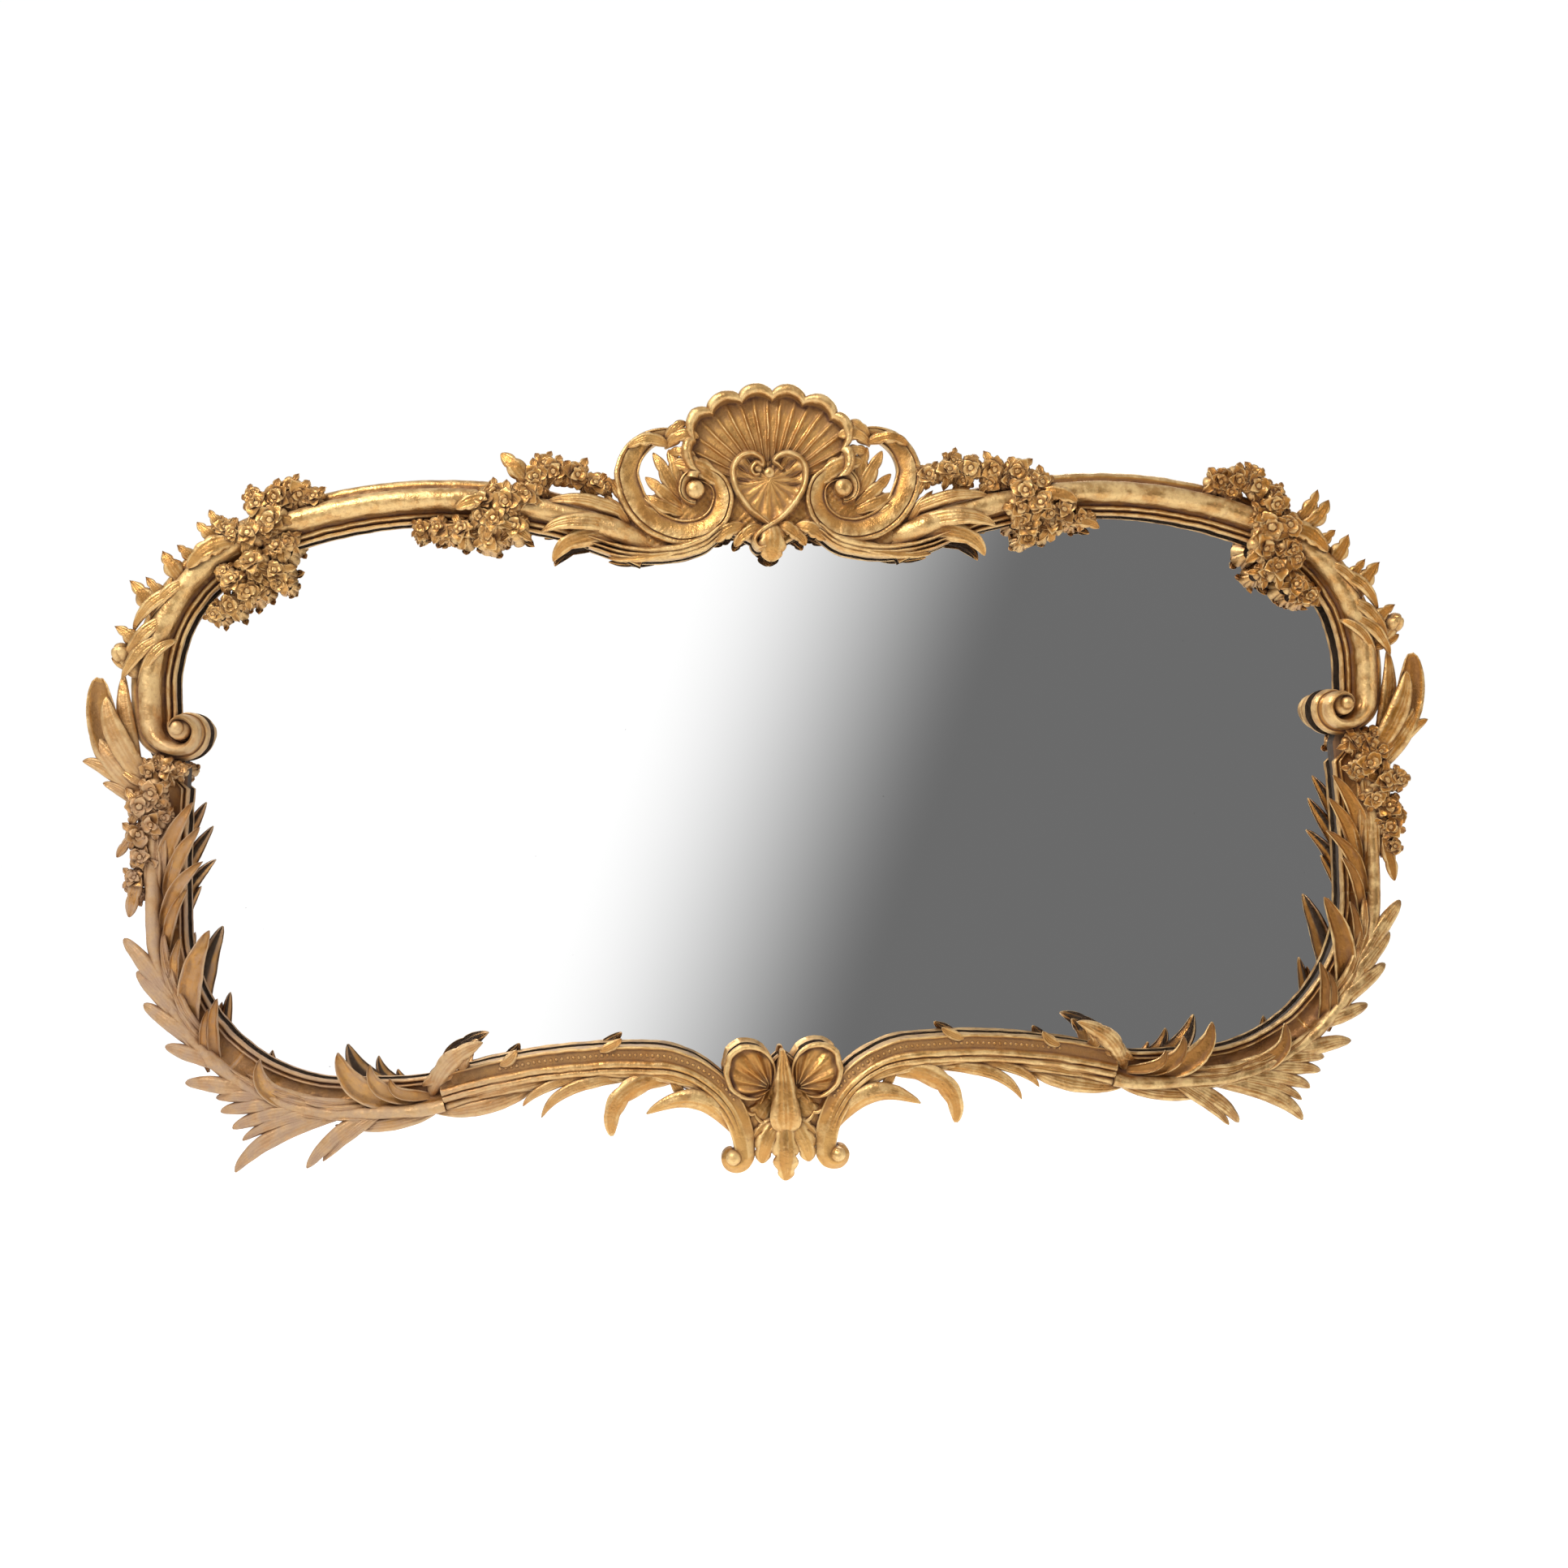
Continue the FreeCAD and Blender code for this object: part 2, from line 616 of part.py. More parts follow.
def crest_scroll():
    """A C-scroll that winds from the shell's rim under itself to its eye."""
    turns = [(radius, -sweep) for radius, sweep in zip(crest_scroll_radii, crest_sweep_angles)]
    start = Vector(crest_scroll_start_x, 0, crest_scroll_start_z)
    stations = turned_path(start, 0, turns, crest_taper_shares)
    half_width = crest_scroll_width / 2
    winding = scroll(stations, half_width, crest_scroll_height, scroll_section_shares)
    last = stations[-1][0]
    eye_spot = Vector(last.x, front_plane, last.z + crest_scroll_radii[-1])
    disc = Part.makeCylinder(crest_scroll_radii[-2], shell_plate_height, eye_spot, Vector(0, -1, 0))
    eye = Part.makeCone(crest_eye_radius, crest_eye_radius / 2, crest_scroll_height, eye_spot,
                        Vector(0, -1, 0))
    outer_x = crest_scroll_start_x + crest_scroll_radii[0]
    outer_z = crest_scroll_start_z - crest_scroll_radii[0]
    around = Arc(outer_x - crest_scroll_radii[1], outer_z, crest_scroll_radii[1], 1)
    return joined([winding, disc, eye] + leaves(around, half_width, 0, 1, crest_leaf_shares))


def fan(centre_z, root, reach, rib_radius, plate_height, angles, reach_shares, upwards):
    """Ribs that widen as they fan out from a point, on a common plate."""
    shapes = []
    base = Vector(0, front_plane - plate_height, centre_z)
    rim = []
    for angle, share in zip(angles, reach_shares):
        tilt = math.radians(angle)
        along = Vector(math.sin(tilt), 0, upwards * math.cos(tilt))
        length = reach * share
        tip = base + along * length
        tip_radius = rib_radius * share
        shapes.append(Part.makeCone(rib_radius * root / reach, tip_radius, length - root,
                                    base + along * root, along))
        shapes.append(Part.makeCone(tip_radius, tip_radius / 2, shell_lip, tip, along))
        rim.append(tip)
    plate = Part.Face(Part.makePolygon([base] + rim + [base])).extrude(Vector(0, plate_height, 0))
    return forward_of_frame(joined(shapes + [plate]))


def heart_wire(inset, depth):
    """The cabochon's outline, drawn in by an inset, at a depth."""
    low = heart_tip_z + inset
    tall = heart_top_z - inset - low
    wide = heart_half_width - inset
    right = [Vector(across * wide, depth, low + up * tall) for across, up in heart_outline_shares]
    left = [Vector(-spot.x, depth, spot.z) for spot in right]
    edges = [Part.Arc(right[0], right[1], right[2]).toShape(),
             Part.Arc(right[2], right[3], right[4]).toShape(),
             Part.Arc(left[4], left[3], left[2]).toShape(),
             Part.Arc(left[2], left[1], left[0]).toShape()]
    return Part.Wire(edges)


def crest_cabochon():
    """A heart with a bevelled edge, and the leaf that drops from its tip."""
    shoulder_depth = front_plane - heart_height + heart_bevel
    side_wall = Part.Face(heart_wire(0, front_plane)).extrude(Vector(0, shoulder_depth - front_plane, 0))
    bevel = Part.makeLoft([heart_wire(0, shoulder_depth),
                           heart_wire(heart_bevel, front_plane - heart_height)], True, True)
    drop_root = Vector(0, 0, heart_tip_z + heart_bevel)
    drop = leaf(drop_root, Vector(0, 0, crest_drop_tip_z), heart_half_width, 0, leaf_height)
    return joined([side_wall, bevel, drop])


def crest_shell():
    """The fluted shell, cut out where the cabochon sits."""
    ribs = fan(shell_centre_z, shell_root_radius, shell_radius - shell_lip, shell_rib_radius,
               shell_plate_height, shell_rib_angles, shell_reach_shares, 1)
    pocket = Part.Face(heart_wire(-carving_play, front_plane)).extrude(Vector(0, -heart_height - overrun, 0))
    return joined(ribs.cut(pocket).Solids)


def pendant_shell():
    """The lower shell with two ears, trimmed to the band on either side."""
    reach = pendant_root_z - pendant_base_z
    ribs = fan(pendant_root_z, reach / 4, reach, pendant_rib_radius, pendant_plate_height,
               pendant_rib_angles, pendant_reach_shares, -1)
    ears = []
    for hand in (-1, 1):
        spot = Vector(hand * pendant_ear_x, front_plane, pendant_ear_z)
        ears.append(Part.makeCylinder(pendant_ear_radius, pendant_plate_height, spot, Vector(0, -1, 0)))
        top = spot - Vector(0, pendant_plate_height, 0)
        ears.append(Part.makeCone(pendant_ear_radius, pendant_ear_radius / 2,
                                  pendant_rib_radius, top, Vector(0, -1, 0)))
    below = Part.makeBox(4 * reach, 4 * overrun, overrun,
                         Vector(-2 * reach, front_plane - 4 * overrun, pendant_base_z - overrun))
    shape = joined([ribs] + ears).cut(below)
    half = band_half + carving_play
    channel = rail(turn, band_turn_angle, 2 * right_angle, half, 4 * overrun, channel_shares)
    shape = shape.cut(channel).cut(mirrored(channel))
    return max(shape.Solids, key=lambda solid: solid.Volume)


def pendant_drop():
    """The leaf that hangs below the pendant shell."""
    root = Vector(0, 0, pendant_base_z)
    return leaf(root, Vector(0, 0, pendant_tip_z), pendant_drop_width, 0, leaf_height)


def outline(out):
    """The frame's closed outline at a distance out from the rails' middle line."""
    top = crest_edge_z + out
    base = base_edge_z - out
    spots = [(arch, arch_start, shoulder_start), (shoulder, shoulder_start, 0),
             (side, side_start, 0), (corner, 0, -right_angle),
             (rise, -right_angle, rise_end), (band, band_start_angle, band_turn_angle)]
    path = [Vector(0, 0, top), Vector(crest_edge_x, 0, top)]
    edges = [Part.makeLine(path[0], path[1])]
    last = path[1]
    for arc, start, end in spots:
        first = arc.place(start, out)
        if arc is side:
            kink = side_kink + Vector(out, 0, 0)
            edges.append(Part.makeLine(last, kink))
            last = kink
        if (first - last).Length > peg_fit:
            edges.append(Part.makeLine(last, first))
        else:
            first = last
        final = arc.place(end, out)
        edges.append(Part.Arc(first, arc.place((start + end) / 2, out), final).toShape())
        last = final
    below = Vector(base_edge_x, 0, base)
    edges.append(Part.makeLine(last, below))
    edges.append(Part.makeLine(below, Vector(0, 0, base)))
    return Part.Wire(Part.__sortEdges__(edges + [mirrored(edge) for edge in edges]))


def outline_slab(out, rear, depth):
    """A slab of the frame's outline, from a rear plane forwards."""
    face = Part.Face(outline(out))
    face.translate(Vector(0, rear, 0))
    return face.extrude(Vector(0, -depth, 0))


def crest_plank(rear, depth):
    """The part of the top board that backs the crest."""
    right = [Vector(plank_base_x, rear, plank_base_z), Vector(plank_waist_x, rear, plank_waist_z),
             Vector(plank_top_x, rear, plank_top_z)]
    left = [Vector(-spot.x, rear, spot.z) for spot in reversed(right)]
    face = Part.Face(Part.makePolygon(right + left + right[:1]))
    return face.extrude(Vector(0, -depth, 0))


def frame_layers():
    """The front and rear layers of the pine frame before it is divided."""
    front = outline_slab(frame_outer, lap_plane, front_layer_thickness)
    front = front.fuse(crest_plank(lap_plane, front_layer_thickness))
    front = front.cut(outline_slab(-frame_inner, lap_plane + overrun, front_layer_thickness + 2 * overrun))
    rear_inner = frame_inner - rebate_width
    rear = outline_slab(frame_outer, rear_plane, rear_layer_thickness)
    rear = rear.fuse(crest_plank(rear_plane, rear_layer_thickness))
    rear = rear.cut(outline_slab(-rear_inner, rear_plane + overrun, rear_layer_thickness + 2 * overrun))
    return front, rear


def block(low_x, high_x, low_z, high_z):
    """A box through the frame's whole depth."""
    return Part.makeBox(high_x - low_x, -front_plane + overrun, high_z - low_z,
                        Vector(low_x, front_plane - overrun / 2, low_z))


def frame_boards():
    """Six boards whose front and rear layers lap past each other."""
    front, rear = frame_layers()
    wide = palm_side_x + overrun * 2
    tall = plank_top_z + overrun
    boards = {}
    top_x = top_joint_x - lap_length
    lap_side_z = side_joint_z - lap_length
    lap_corner_z = corner_joint_z - lap_length
    boards["frame_top"] = [front.common(block(-top_joint_x, top_joint_x, top_joint_z, tall)),
                           rear.common(block(-top_x, top_x, top_joint_z, tall))]
    boards["frame_shoulder_r"] = [front.common(block(top_joint_x, wide, side_joint_z, tall)),
                                  rear.common(block(top_x, wide, lap_side_z, tall))]
    boards["frame_side_r"] = [front.common(block(top_joint_x, wide, lap_corner_z, side_joint_z)),
                              rear.common(block(top_joint_x, wide, corner_joint_z, lap_side_z))]
    boards["frame_base"] = [front.common(block(-wide, wide, -tall, lap_corner_z)),
                            rear.common(block(-wide, wide, -tall, corner_joint_z))]
    return {name: joined(layers) for name, layers in boards.items()}


def peg_spots():
    """Two pegs in every lap, on the rails' middle line."""
    spots = []
    for share in peg_place_shares:
        x = top_joint_x - lap_length * share
        spots.append(arch.place(arch.angle_at_x(x, True), 0))
        rise_z = side_joint_z - lap_length * share
        spots.append(Vector(side_line_x(rise_z), 0, rise_z))
        drop = corner_joint_drop + lap_length * share
        angle = -math.degrees(math.asin(drop / palm_corner_radius))
        spots.append(corner.place(angle, 0))
    return spots


def side_line_x(z):
    """The frame's middle line where the side rises to its kink."""
    low = side.place(side_start, 0)
    if z <= low.z:
        angle = math.degrees(math.asin((z - side.centre.z) / palm_side_radius))
        return side.place(angle, 0).x
    return low.x + (side_kink.x - low.x) * (z - low.z) / (side_kink.z - low.z)


def peg(spot, radius):
    length = rear_plane - front_plane
    return Part.makeCylinder(radius, length, Vector(spot.x, front_plane, spot.z), Vector(0, 1, 0))


def mirrored(shape):
    return shape.mirror(Vector(0, 0, 0), Vector(1, 0, 0))


def backboards():
    """Upright boards cut to the outline that bears on the frame's rear face."""
    bearing = frame_inner - rebate_width - backboard_overlap
    slab = outline_slab(-bearing, 0, backboard_thickness)
    box = slab.BoundBox
    pitch = box.XLength / backboard_count
    made = []
    for index in range(backboard_count):
        low = box.XMin + index * pitch + backboard_gap / 2
        strip = block(low, low + pitch - backboard_gap, box.ZMin - overrun, box.ZMax + overrun)
        made.append(slab.common(strip))
    return made


def mirror_plate():
    edge = frame_inner - rebate_width + plate_play
    return outline_slab(-edge, lap_plane + plate_thickness, plate_thickness)


def glazing_blocks():
    """Short blocks in the rebate that press the plate forwards."""
    inner = frame_inner - rebate_width + peg_fit
    depth = rear_layer_thickness - plate_thickness
    made = []
    places = [(arch, angle) for angle in arch_block_angles]
    places += [(shoulder, shoulder_block_angle), (side, side_block_share * side_start),
               (corner, corner_block_angle), (band, band_block_angle)]
    for arc, angle in places:
        half_turn = math.degrees(block_length / arc.radius) / 2
        start = angle - half_turn
        near, far = arc.place(start, -inner), arc.place(start, -inner - block_width)
        drop = Vector(0, rear_plane, 0)
        spots = [near + drop, far + drop, far + drop - Vector(0, depth, 0), near + drop - Vector(0, depth, 0)]
        face = Part.Face(Part.makePolygon(spots + spots[:1]))
        piece = face.revolve(arc.centre, Vector(0, -1, 0), 2 * half_turn)
        made += [piece, mirrored(piece)]
    return Part.makeCompound(made)


def hanger_axis_y():
    return rear_plane + ring_wire_radius + ring_play + strap_thickness


def hanger_strap():
    """A strap with a round lower end, folded into a barrel round the ring's bar."""
    outer = ring_wire_radius + ring_play + strap_thickness
    half = strap_width / 2
    low = hanger_top_z - strap_length
    back = rear_plane + strap_thickness
    edges = [Part.makeLine(Vector(-half, 0, hanger_top_z - outer), Vector(-half, 0, low + half)),
             Part.Arc(Vector(-half, 0, low + half), Vector(0, 0, low), Vector(half, 0, low + half)).toShape(),
             Part.makeLine(Vector(half, 0, low + half), Vector(half, 0, hanger_top_z - outer)),
             Part.makeLine(Vector(half, 0, hanger_top_z - outer), Vector(barrel_length / 2, 0, hanger_top_z)),
             Part.makeLine(Vector(barrel_length / 2, 0, hanger_top_z),
                           Vector(-barrel_length / 2, 0, hanger_top_z)),
             Part.makeLine(Vector(-barrel_length / 2, 0, hanger_top_z), Vector(-half, 0, hanger_top_z - outer))]
    plate = Part.Face(Part.Wire(Part.__sortEdges__(edges)))
    plate.translate(Vector(hanger_x, back, 0))
    plate = plate.extrude(Vector(0, -strap_thickness, 0))
    axis = Vector(hanger_x - barrel_length / 2, hanger_axis_y(), hanger_top_z)
    barrel = Part.makeCylinder(outer, barrel_length, axis, Vector(1, 0, 0))
    bore = Part.makeCylinder(ring_wire_radius + ring_play, barrel_length, axis, Vector(1, 0, 0))
    strap = joined([plate, barrel]).cut(bore)
    for spot in screw_spots():
        strap = strap.cut(Part.makeCylinder(screw_shank_radius + screw_fit, strap_thickness,
                                            Vector(spot.x, back, spot.z), Vector(0, -1, 0)))
    return strap.Solids[0]


def screw_spots():
    first = hanger_top_z - strap_length + strap_width / 2
    return [Vector(hanger_x, 0, first), Vector(hanger_x, 0, first + screw_pitch)]


def hanger_screws():
    """Round-headed screws that hold the strap to the frame."""
    made = []
    seat = rear_plane + strap_thickness
    for spot in screw_spots():
        shank = Part.makeCylinder(screw_shank_radius, strap_thickness + screw_depth,
                                  Vector(spot.x, seat, spot.z), Vector(0, -1, 0))
        head = Part.makeCone(screw_head_radius, screw_head_radius / 2, screw_head_height,
                             Vector(spot.x, seat, spot.z), Vector(0, 1, 0))
        made.append(shank.fuse(head).removeSplitter())
    return made


def hanger_ring():
    """A D-shaped wire ring that hangs from its bar: corners, legs and a round bow."""
    half = ring_outer_width / 2 - ring_wire_radius
    y = hanger_axis_y()
    bar_half = half - ring_corner_radius
    leg_high = hanger_top_z - ring_corner_radius
    leg_low = leg_high - ring_side_length
    bend = ring_corner_radius * (1 - math.sqrt(0.5))
    bar = Part.makeLine(Vector(-bar_half, y, hanger_top_z), Vector(bar_half, y, hanger_top_z))
    bow = Part.Arc(Vector(half, y, leg_low), Vector(0, y, leg_low - half), Vector(-half, y, leg_low))
    path = [bar, bow.toShape()]
    for hand in (-1, 1):
        path.append(Part.Arc(Vector(hand * bar_half, y, hanger_top_z),
                             Vector(hand * (half - bend), y, hanger_top_z - bend),
                             Vector(hand * half, y, leg_high)).toShape())
        path.append(Part.makeLine(Vector(hand * half, y, leg_high), Vector(hand * half, y, leg_low)))
    solids = []
    for edge in path:
        start = edge.valueAt(edge.FirstParameter)
        along = edge.tangentAt(edge.FirstParameter)
        disc = Part.Face(Part.Wire(Part.makeCircle(ring_wire_radius, start, along)))
        if isinstance(edge.Curve, Part.Line):
            solids.append(disc.extrude(along * edge.Length))
        else:
            centre = edge.Curve.Center
            sweep = math.degrees(edge.Length / edge.Curve.Radius)
            solids.append(disc.revolve(centre, (start - centre).cross(along), sweep))
    ring = joined(solids)
    ring.translate(Vector(hanger_x, 0, 0))
    return ring


def save(name, shape):
    shape.exportStep(os.path.join("parts", name + ".step"))


def save_pair(name, shape):
    save(name + "_r", shape)
    save(name + "_l", mirrored(shape))


def main():
    os.makedirs("parts", exist_ok=True)
    for make in (top_rail_inner, top_cluster, top_rail_outer, corner_cluster, shoulder_scroll,
                 side_cluster, palm_side, palm_foot, beaded_scroll, crest_scroll):
        save_pair(make.__name__, make())
    for make in (crest_shell, crest_cabochon, pendant_shell, pendant_drop, mirror_plate, glazing_blocks):
        save(make.__name__, make())
    spots = peg_spots()
    spots += [Vector(-spot.x, 0, spot.z) for spot in spots]
    holes = Part.makeCompound([peg(spot, peg_radius + peg_fit) for spot in spots])
    screw_holes = []
    for spot in screw_spots():
        for hand in (-1, 1):
            screw_holes.append(Part.makeCylinder(screw_shank_radius + screw_fit, screw_depth,
                                                 Vector(hand * spot.x, rear_plane, spot.z), Vector(0, -1, 0)))
    for name, board in frame_boards().items():
        if name.endswith("_r"):
            save(name[:-2] + "_l", mirrored(board).cut(holes).cut(Part.makeCompound(screw_holes)))
        save(name, board.cut(holes).cut(Part.makeCompound(screw_holes)))
    save("frame_pegs", Part.makeCompound([peg(spot, peg_radius) for spot in spots]))
    for index, board in enumerate(backboards()):
        save("backboard_%d" % (index + 1), board)
    save_pair("hanger_strap", hanger_strap())
    save_pair("hanger_ring", hanger_ring())
    screws = hanger_screws()
    save("hanger_screws", Part.makeCompound(screws + [mirrored(screw) for screw in screws]))


main()
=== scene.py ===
# %% [markdown]
# # A giltwood overmantel mirror
# The CAD model gives this mirror its pine frame, plate, backboards and hangers,
# and a plain solid for each carved piece. This lesson carves those pieces: it
# sweeps mouldings along arcs, grows leaves and flowers on them, and gilds the lot.
# All sizes below are in millimetres in the CAD model's frame: x to the right,
# z up, and y from the viewer to the wall. Points are turned into metres once,
# when a mesh is made.

# %% Load the frame
import math
import random

import bmesh
import bpy
import numpy as np
from mathutils import Matrix, Vector, noise


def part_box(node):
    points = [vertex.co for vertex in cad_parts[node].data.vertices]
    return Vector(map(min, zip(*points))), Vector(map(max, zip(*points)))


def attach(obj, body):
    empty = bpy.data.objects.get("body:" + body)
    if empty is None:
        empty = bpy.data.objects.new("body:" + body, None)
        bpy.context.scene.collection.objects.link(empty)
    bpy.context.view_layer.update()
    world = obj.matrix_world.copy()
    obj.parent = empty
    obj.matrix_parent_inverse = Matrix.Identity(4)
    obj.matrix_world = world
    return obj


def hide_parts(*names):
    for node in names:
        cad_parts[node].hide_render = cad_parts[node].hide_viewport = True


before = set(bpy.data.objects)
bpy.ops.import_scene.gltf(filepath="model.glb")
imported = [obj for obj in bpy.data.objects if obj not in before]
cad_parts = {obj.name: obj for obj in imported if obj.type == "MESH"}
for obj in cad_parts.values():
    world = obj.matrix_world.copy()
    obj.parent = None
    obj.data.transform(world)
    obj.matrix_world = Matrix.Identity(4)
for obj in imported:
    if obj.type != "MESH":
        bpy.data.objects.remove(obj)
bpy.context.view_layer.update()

# %% [markdown]
# ## One way to make every carved shape
# A moulding, a leaf, a flower and a shell have one thing in common: each is a row
# of closed rings with a skin between them. A ring may be a moulding's section, a
# cut across a leaf, or a circle of petals. So one function, `skin`, makes them
# all, and a `Carving` collects the skins of one piece of wood. Modelling by hand
# would be freer, but rings can be placed exactly on the CAD model's arcs.
#
# A carver's knife never leaves a perfect surface, so a little smooth noise moves
# every point. It depends only on the place, so neighbouring pieces still meet, and
# its seed is set, so every run carves the same surface.
#
# `relief` is stored on each point: how far it stands out of its surroundings. The
# gilding uses it later to rub the high edges bright, partly as wear and partly as a painted
# highlight, and to darken the hollows with dirt and painted shade.

# %% Rings, skins and pieces
FACE = -30.0
noise.seed_set(11)


class Carving:
    """Collects the closed skins of one carved piece; hand -1 mirrors it to the left."""

    def __init__(self, hand=1):
        self.hand = hand
        self.points = []
        self.faces = []
        self.count = 0

    def skin(self, rings):
        rings = np.asarray(rings, float)
        rows, around = rings.shape[:2]
        index = np.arange(rows * around).reshape(rows, around) + self.count
        low, high = index[:-1], index[1:]
        quads = np.stack([low, np.roll(low, -1, 1), np.roll(high, -1, 1), high], -1)
        self.faces += quads.reshape(-1, 4).tolist()
        self.faces += [index[0][::-1].tolist(), index[-1].tolist()]
        self.points.append(rings.reshape(-1, 3))
        self.count += rows * around

    def piece(self, name, nodes):
        points = np.concatenate(self.points)
        points[:, 0] *= self.hand
        for spot in points:
            place = Vector(spot)
            broad = noise.noise_vector(place / 18.0) * 0.7
            fine = noise.noise_vector(place / 6.0) * 0.25
            spot += np.array(broad + fine)
        mesh = bpy.data.meshes.new(name)
        mesh.from_pydata((points * 0.001).tolist(), [], self.faces)
        shell = bmesh.new()
        shell.from_mesh(mesh)
        bmesh.ops.recalc_face_normals(shell, faces=shell.faces)
        shell.to_mesh(mesh)
        shell.free()
        mesh.shade_smooth()
        mesh.set_sharp_from_angle(angle=math.radians(55))
        store_relief(mesh)
        made = bpy.data.objects.new(name, mesh)
        bpy.context.scene.collection.objects.link(made)
        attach(made, "mirror")
        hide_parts(*nodes)
        print(name, "points:", len(mesh.vertices))
        return made


def store_relief(mesh, rounds=10, span=0.0022):
    """Stores how far each point stands out of (1) or lies below (0) its surroundings."""
    count = len(mesh.vertices)
    places = np.empty(count * 3, np.float32)
    mesh.vertices.foreach_get("co", places)
    places = places.reshape(-1, 3).astype(float)
    normals = np.empty(count * 3, np.float32)
    mesh.vertex_normals.foreach_get("vector", normals)
    ends = np.empty(len(mesh.edges) * 2, np.int32)
    mesh.edges.foreach_get("vertices", ends)
    one, two = ends.reshape(-1, 2).T
    links = np.bincount(np.concatenate([one, two]), minlength=count)
    soft = places.copy()
    for _ in range(rounds):
        for axis in range(3):
            total = np.bincount(one, soft[two, axis], count) + np.bincount(two, soft[one, axis], count)
            soft[:, axis] = total / links
    stands = ((places - soft) * normals.reshape(-1, 3)).sum(1)
    store = mesh.attributes.new("relief", "FLOAT", "POINT")
    store.data.foreach_set("value", np.clip(0.5 + stands / span, 0, 1).astype(np.float32))


carved = {}
HANDS = ((1, "r"), (-1, "l"))


def keep(name, carving, *nodes):
    carved[name] = carving.piece(name, nodes)


# %% [markdown]
# ## Lines to follow
# The mouldings follow arcs that join without a kink, so an `Arc` knows its centre,
# its radius and which way is outwards. Scrolls wind tighter and tighter: they are
# chains of arcs, each starting where the last one ended. A few mouldings follow a
# free line, which is drawn smoothly through a handful of points.

# %% Arcs, scrolls and free lines
class Arc:
    """An arc of a rail's middle line, in the plane of the mirror."""

    def __init__(self, x, z, radius, outwards=1):
        self.centre = np.array([x, z], float)
        self.radius = radius
        self.outwards = outwards

    def spot(self, angle, out=0.0):
        facing = np.array([math.cos(math.radians(angle)), math.sin(math.radians(angle))])
        return self.centre + facing * (self.radius + self.outwards * out)

    def run(self, start, end, step=3.5):
        """Points along the arc, and the outward direction at each."""
        count = max(2, round(abs(math.radians(end - start)) * self.radius / step))
        angles = np.radians(np.linspace(start, end, count + 1))
        facing = np.stack([np.cos(angles), np.sin(angles)], 1)
        return self.centre + facing * self.radius, facing * self.outwards


def left_of(heading):
    return np.array([-math.sin(math.radians(heading)), math.cos(math.radians(heading))])


def turned(start, heading, turns, step=6.0):
    """Points along tangent arcs of (radius, degrees to the left), their left hand, and the turn reached."""
    points, lefts, reached = [np.array(start, float)], [left_of(heading)], [0.0]
    for index, (radius, sweep) in enumerate(turns):
        inwards = math.copysign(radius, sweep)
        centre = points[-1] + left_of(heading) * inwards
        count = max(2, round(abs(sweep) / step))
        for part in range(1, count + 1):
            left = left_of(heading + sweep * part / count)
            points.append(centre - left * inwards)
            lefts.append(left)
            reached.append(index + part / count)
        heading += sweep
    return np.array(points), np.array(lefts), np.array(reached)


def free_line(spots, step=3.0):
    """A smooth line through spots, with its left hand."""
    spots = [np.array(spot, float) for spot in spots]
    ends = [2 * spots[0] - spots[1]] + spots + [2 * spots[-1] - spots[-2]]
    points = []
    for before, start, end, after in zip(ends, ends[1:], ends[2:], ends[3:]):
        count = max(2, round(np.linalg.norm(end - start) / step))
        for t in np.linspace(0, 1, count, endpoint=False):
            points.append(0.5 * (2 * start + (end - before) * t
                                 + (2 * before - 5 * start + 4 * end - after) * t ** 2
                                 + (3 * start - before - 3 * end + after) * t ** 3))
    points = np.array(points + [spots[-1]])
    along = np.gradient(points, axis=0)
    along /= np.linalg.norm(along, axis=1)[:, None]
    return points, np.stack([-along[:, 1], along[:, 0]], 1)


arch = Arc(390, -229, 570)
shoulder = Arc(530, 124.27, 190)
side = Arc(-1413.5, -148.5, 2124)
corner = Arc(502.5, -148.5, 208)
band = Arc(204, -1077, 752, -1)
SHOULDER_START = math.degrees(math.atan2(353.27, 140))
CLUSTER_END = SHOULDER_START - math.degrees(77.5 / 190)
CLUSTER_START = SHOULDER_START + math.degrees(65.8 / 570)
BAND_START = math.degrees(math.acos(196 / 752))
BAND_TURN = math.degrees(math.acos(-54 / 752))
print("the shoulder leaves the arch at", round(SHOULDER_START, 2), "degrees")

# %% [markdown]
# ## Sections
# A section is written as the carver would set it out: places across, heights, and
# how much the stretch up to there bulges (a roll) or hollows (a cove). Both are
# shares of the rail's half width and height, so one section fits a tapering scroll.
# The upper rail is a fat roll between a double bead at the sight edge and a
# sloping back edge. The palm rail is a wide cove beside a thick stem. The lower
# band has a raised rim, a flat for the beads and two ribs below it.

# %% Draw the sections and sweep them
def moulding(rows, half, tall, steps=6):
    """A closed section in shares, with round stretches drawn as arcs of a circle."""
    ring = [rows[0][:2]]
    for (across, height, _), (next_across, next_height, bulge) in zip(rows, rows[1:]):
        run, rise = (next_across - across) * half, (next_height - height) * tall
        length = math.hypot(run, rise)
        if bulge:
            sag = abs(bulge) * length
            radius = (length ** 2 / 4 + sag ** 2) / (2 * sag)
            reach = 2 * math.atan(2 * sag / length)
            for part in range(1, steps):
                turn = reach * (2 * part / steps - 1)
                forward = (length / 2 + radius * math.sin(turn)) / length
                up = math.copysign(radius * math.cos(turn) - radius + sag, bulge) / length
                ring.append((across + (forward * run - up * rise) / half,
                             height + (forward * rise + up * run) / tall))
        ring.append((next_across, next_height))
    return np.array(ring)


RAIL_HALF, RAIL_TALL = 26.0, 37.0
PALM_HALF, PALM_TALL = 22.5, 31.0
BAND_HALF, BAND_TALL = 22.0, 33.0

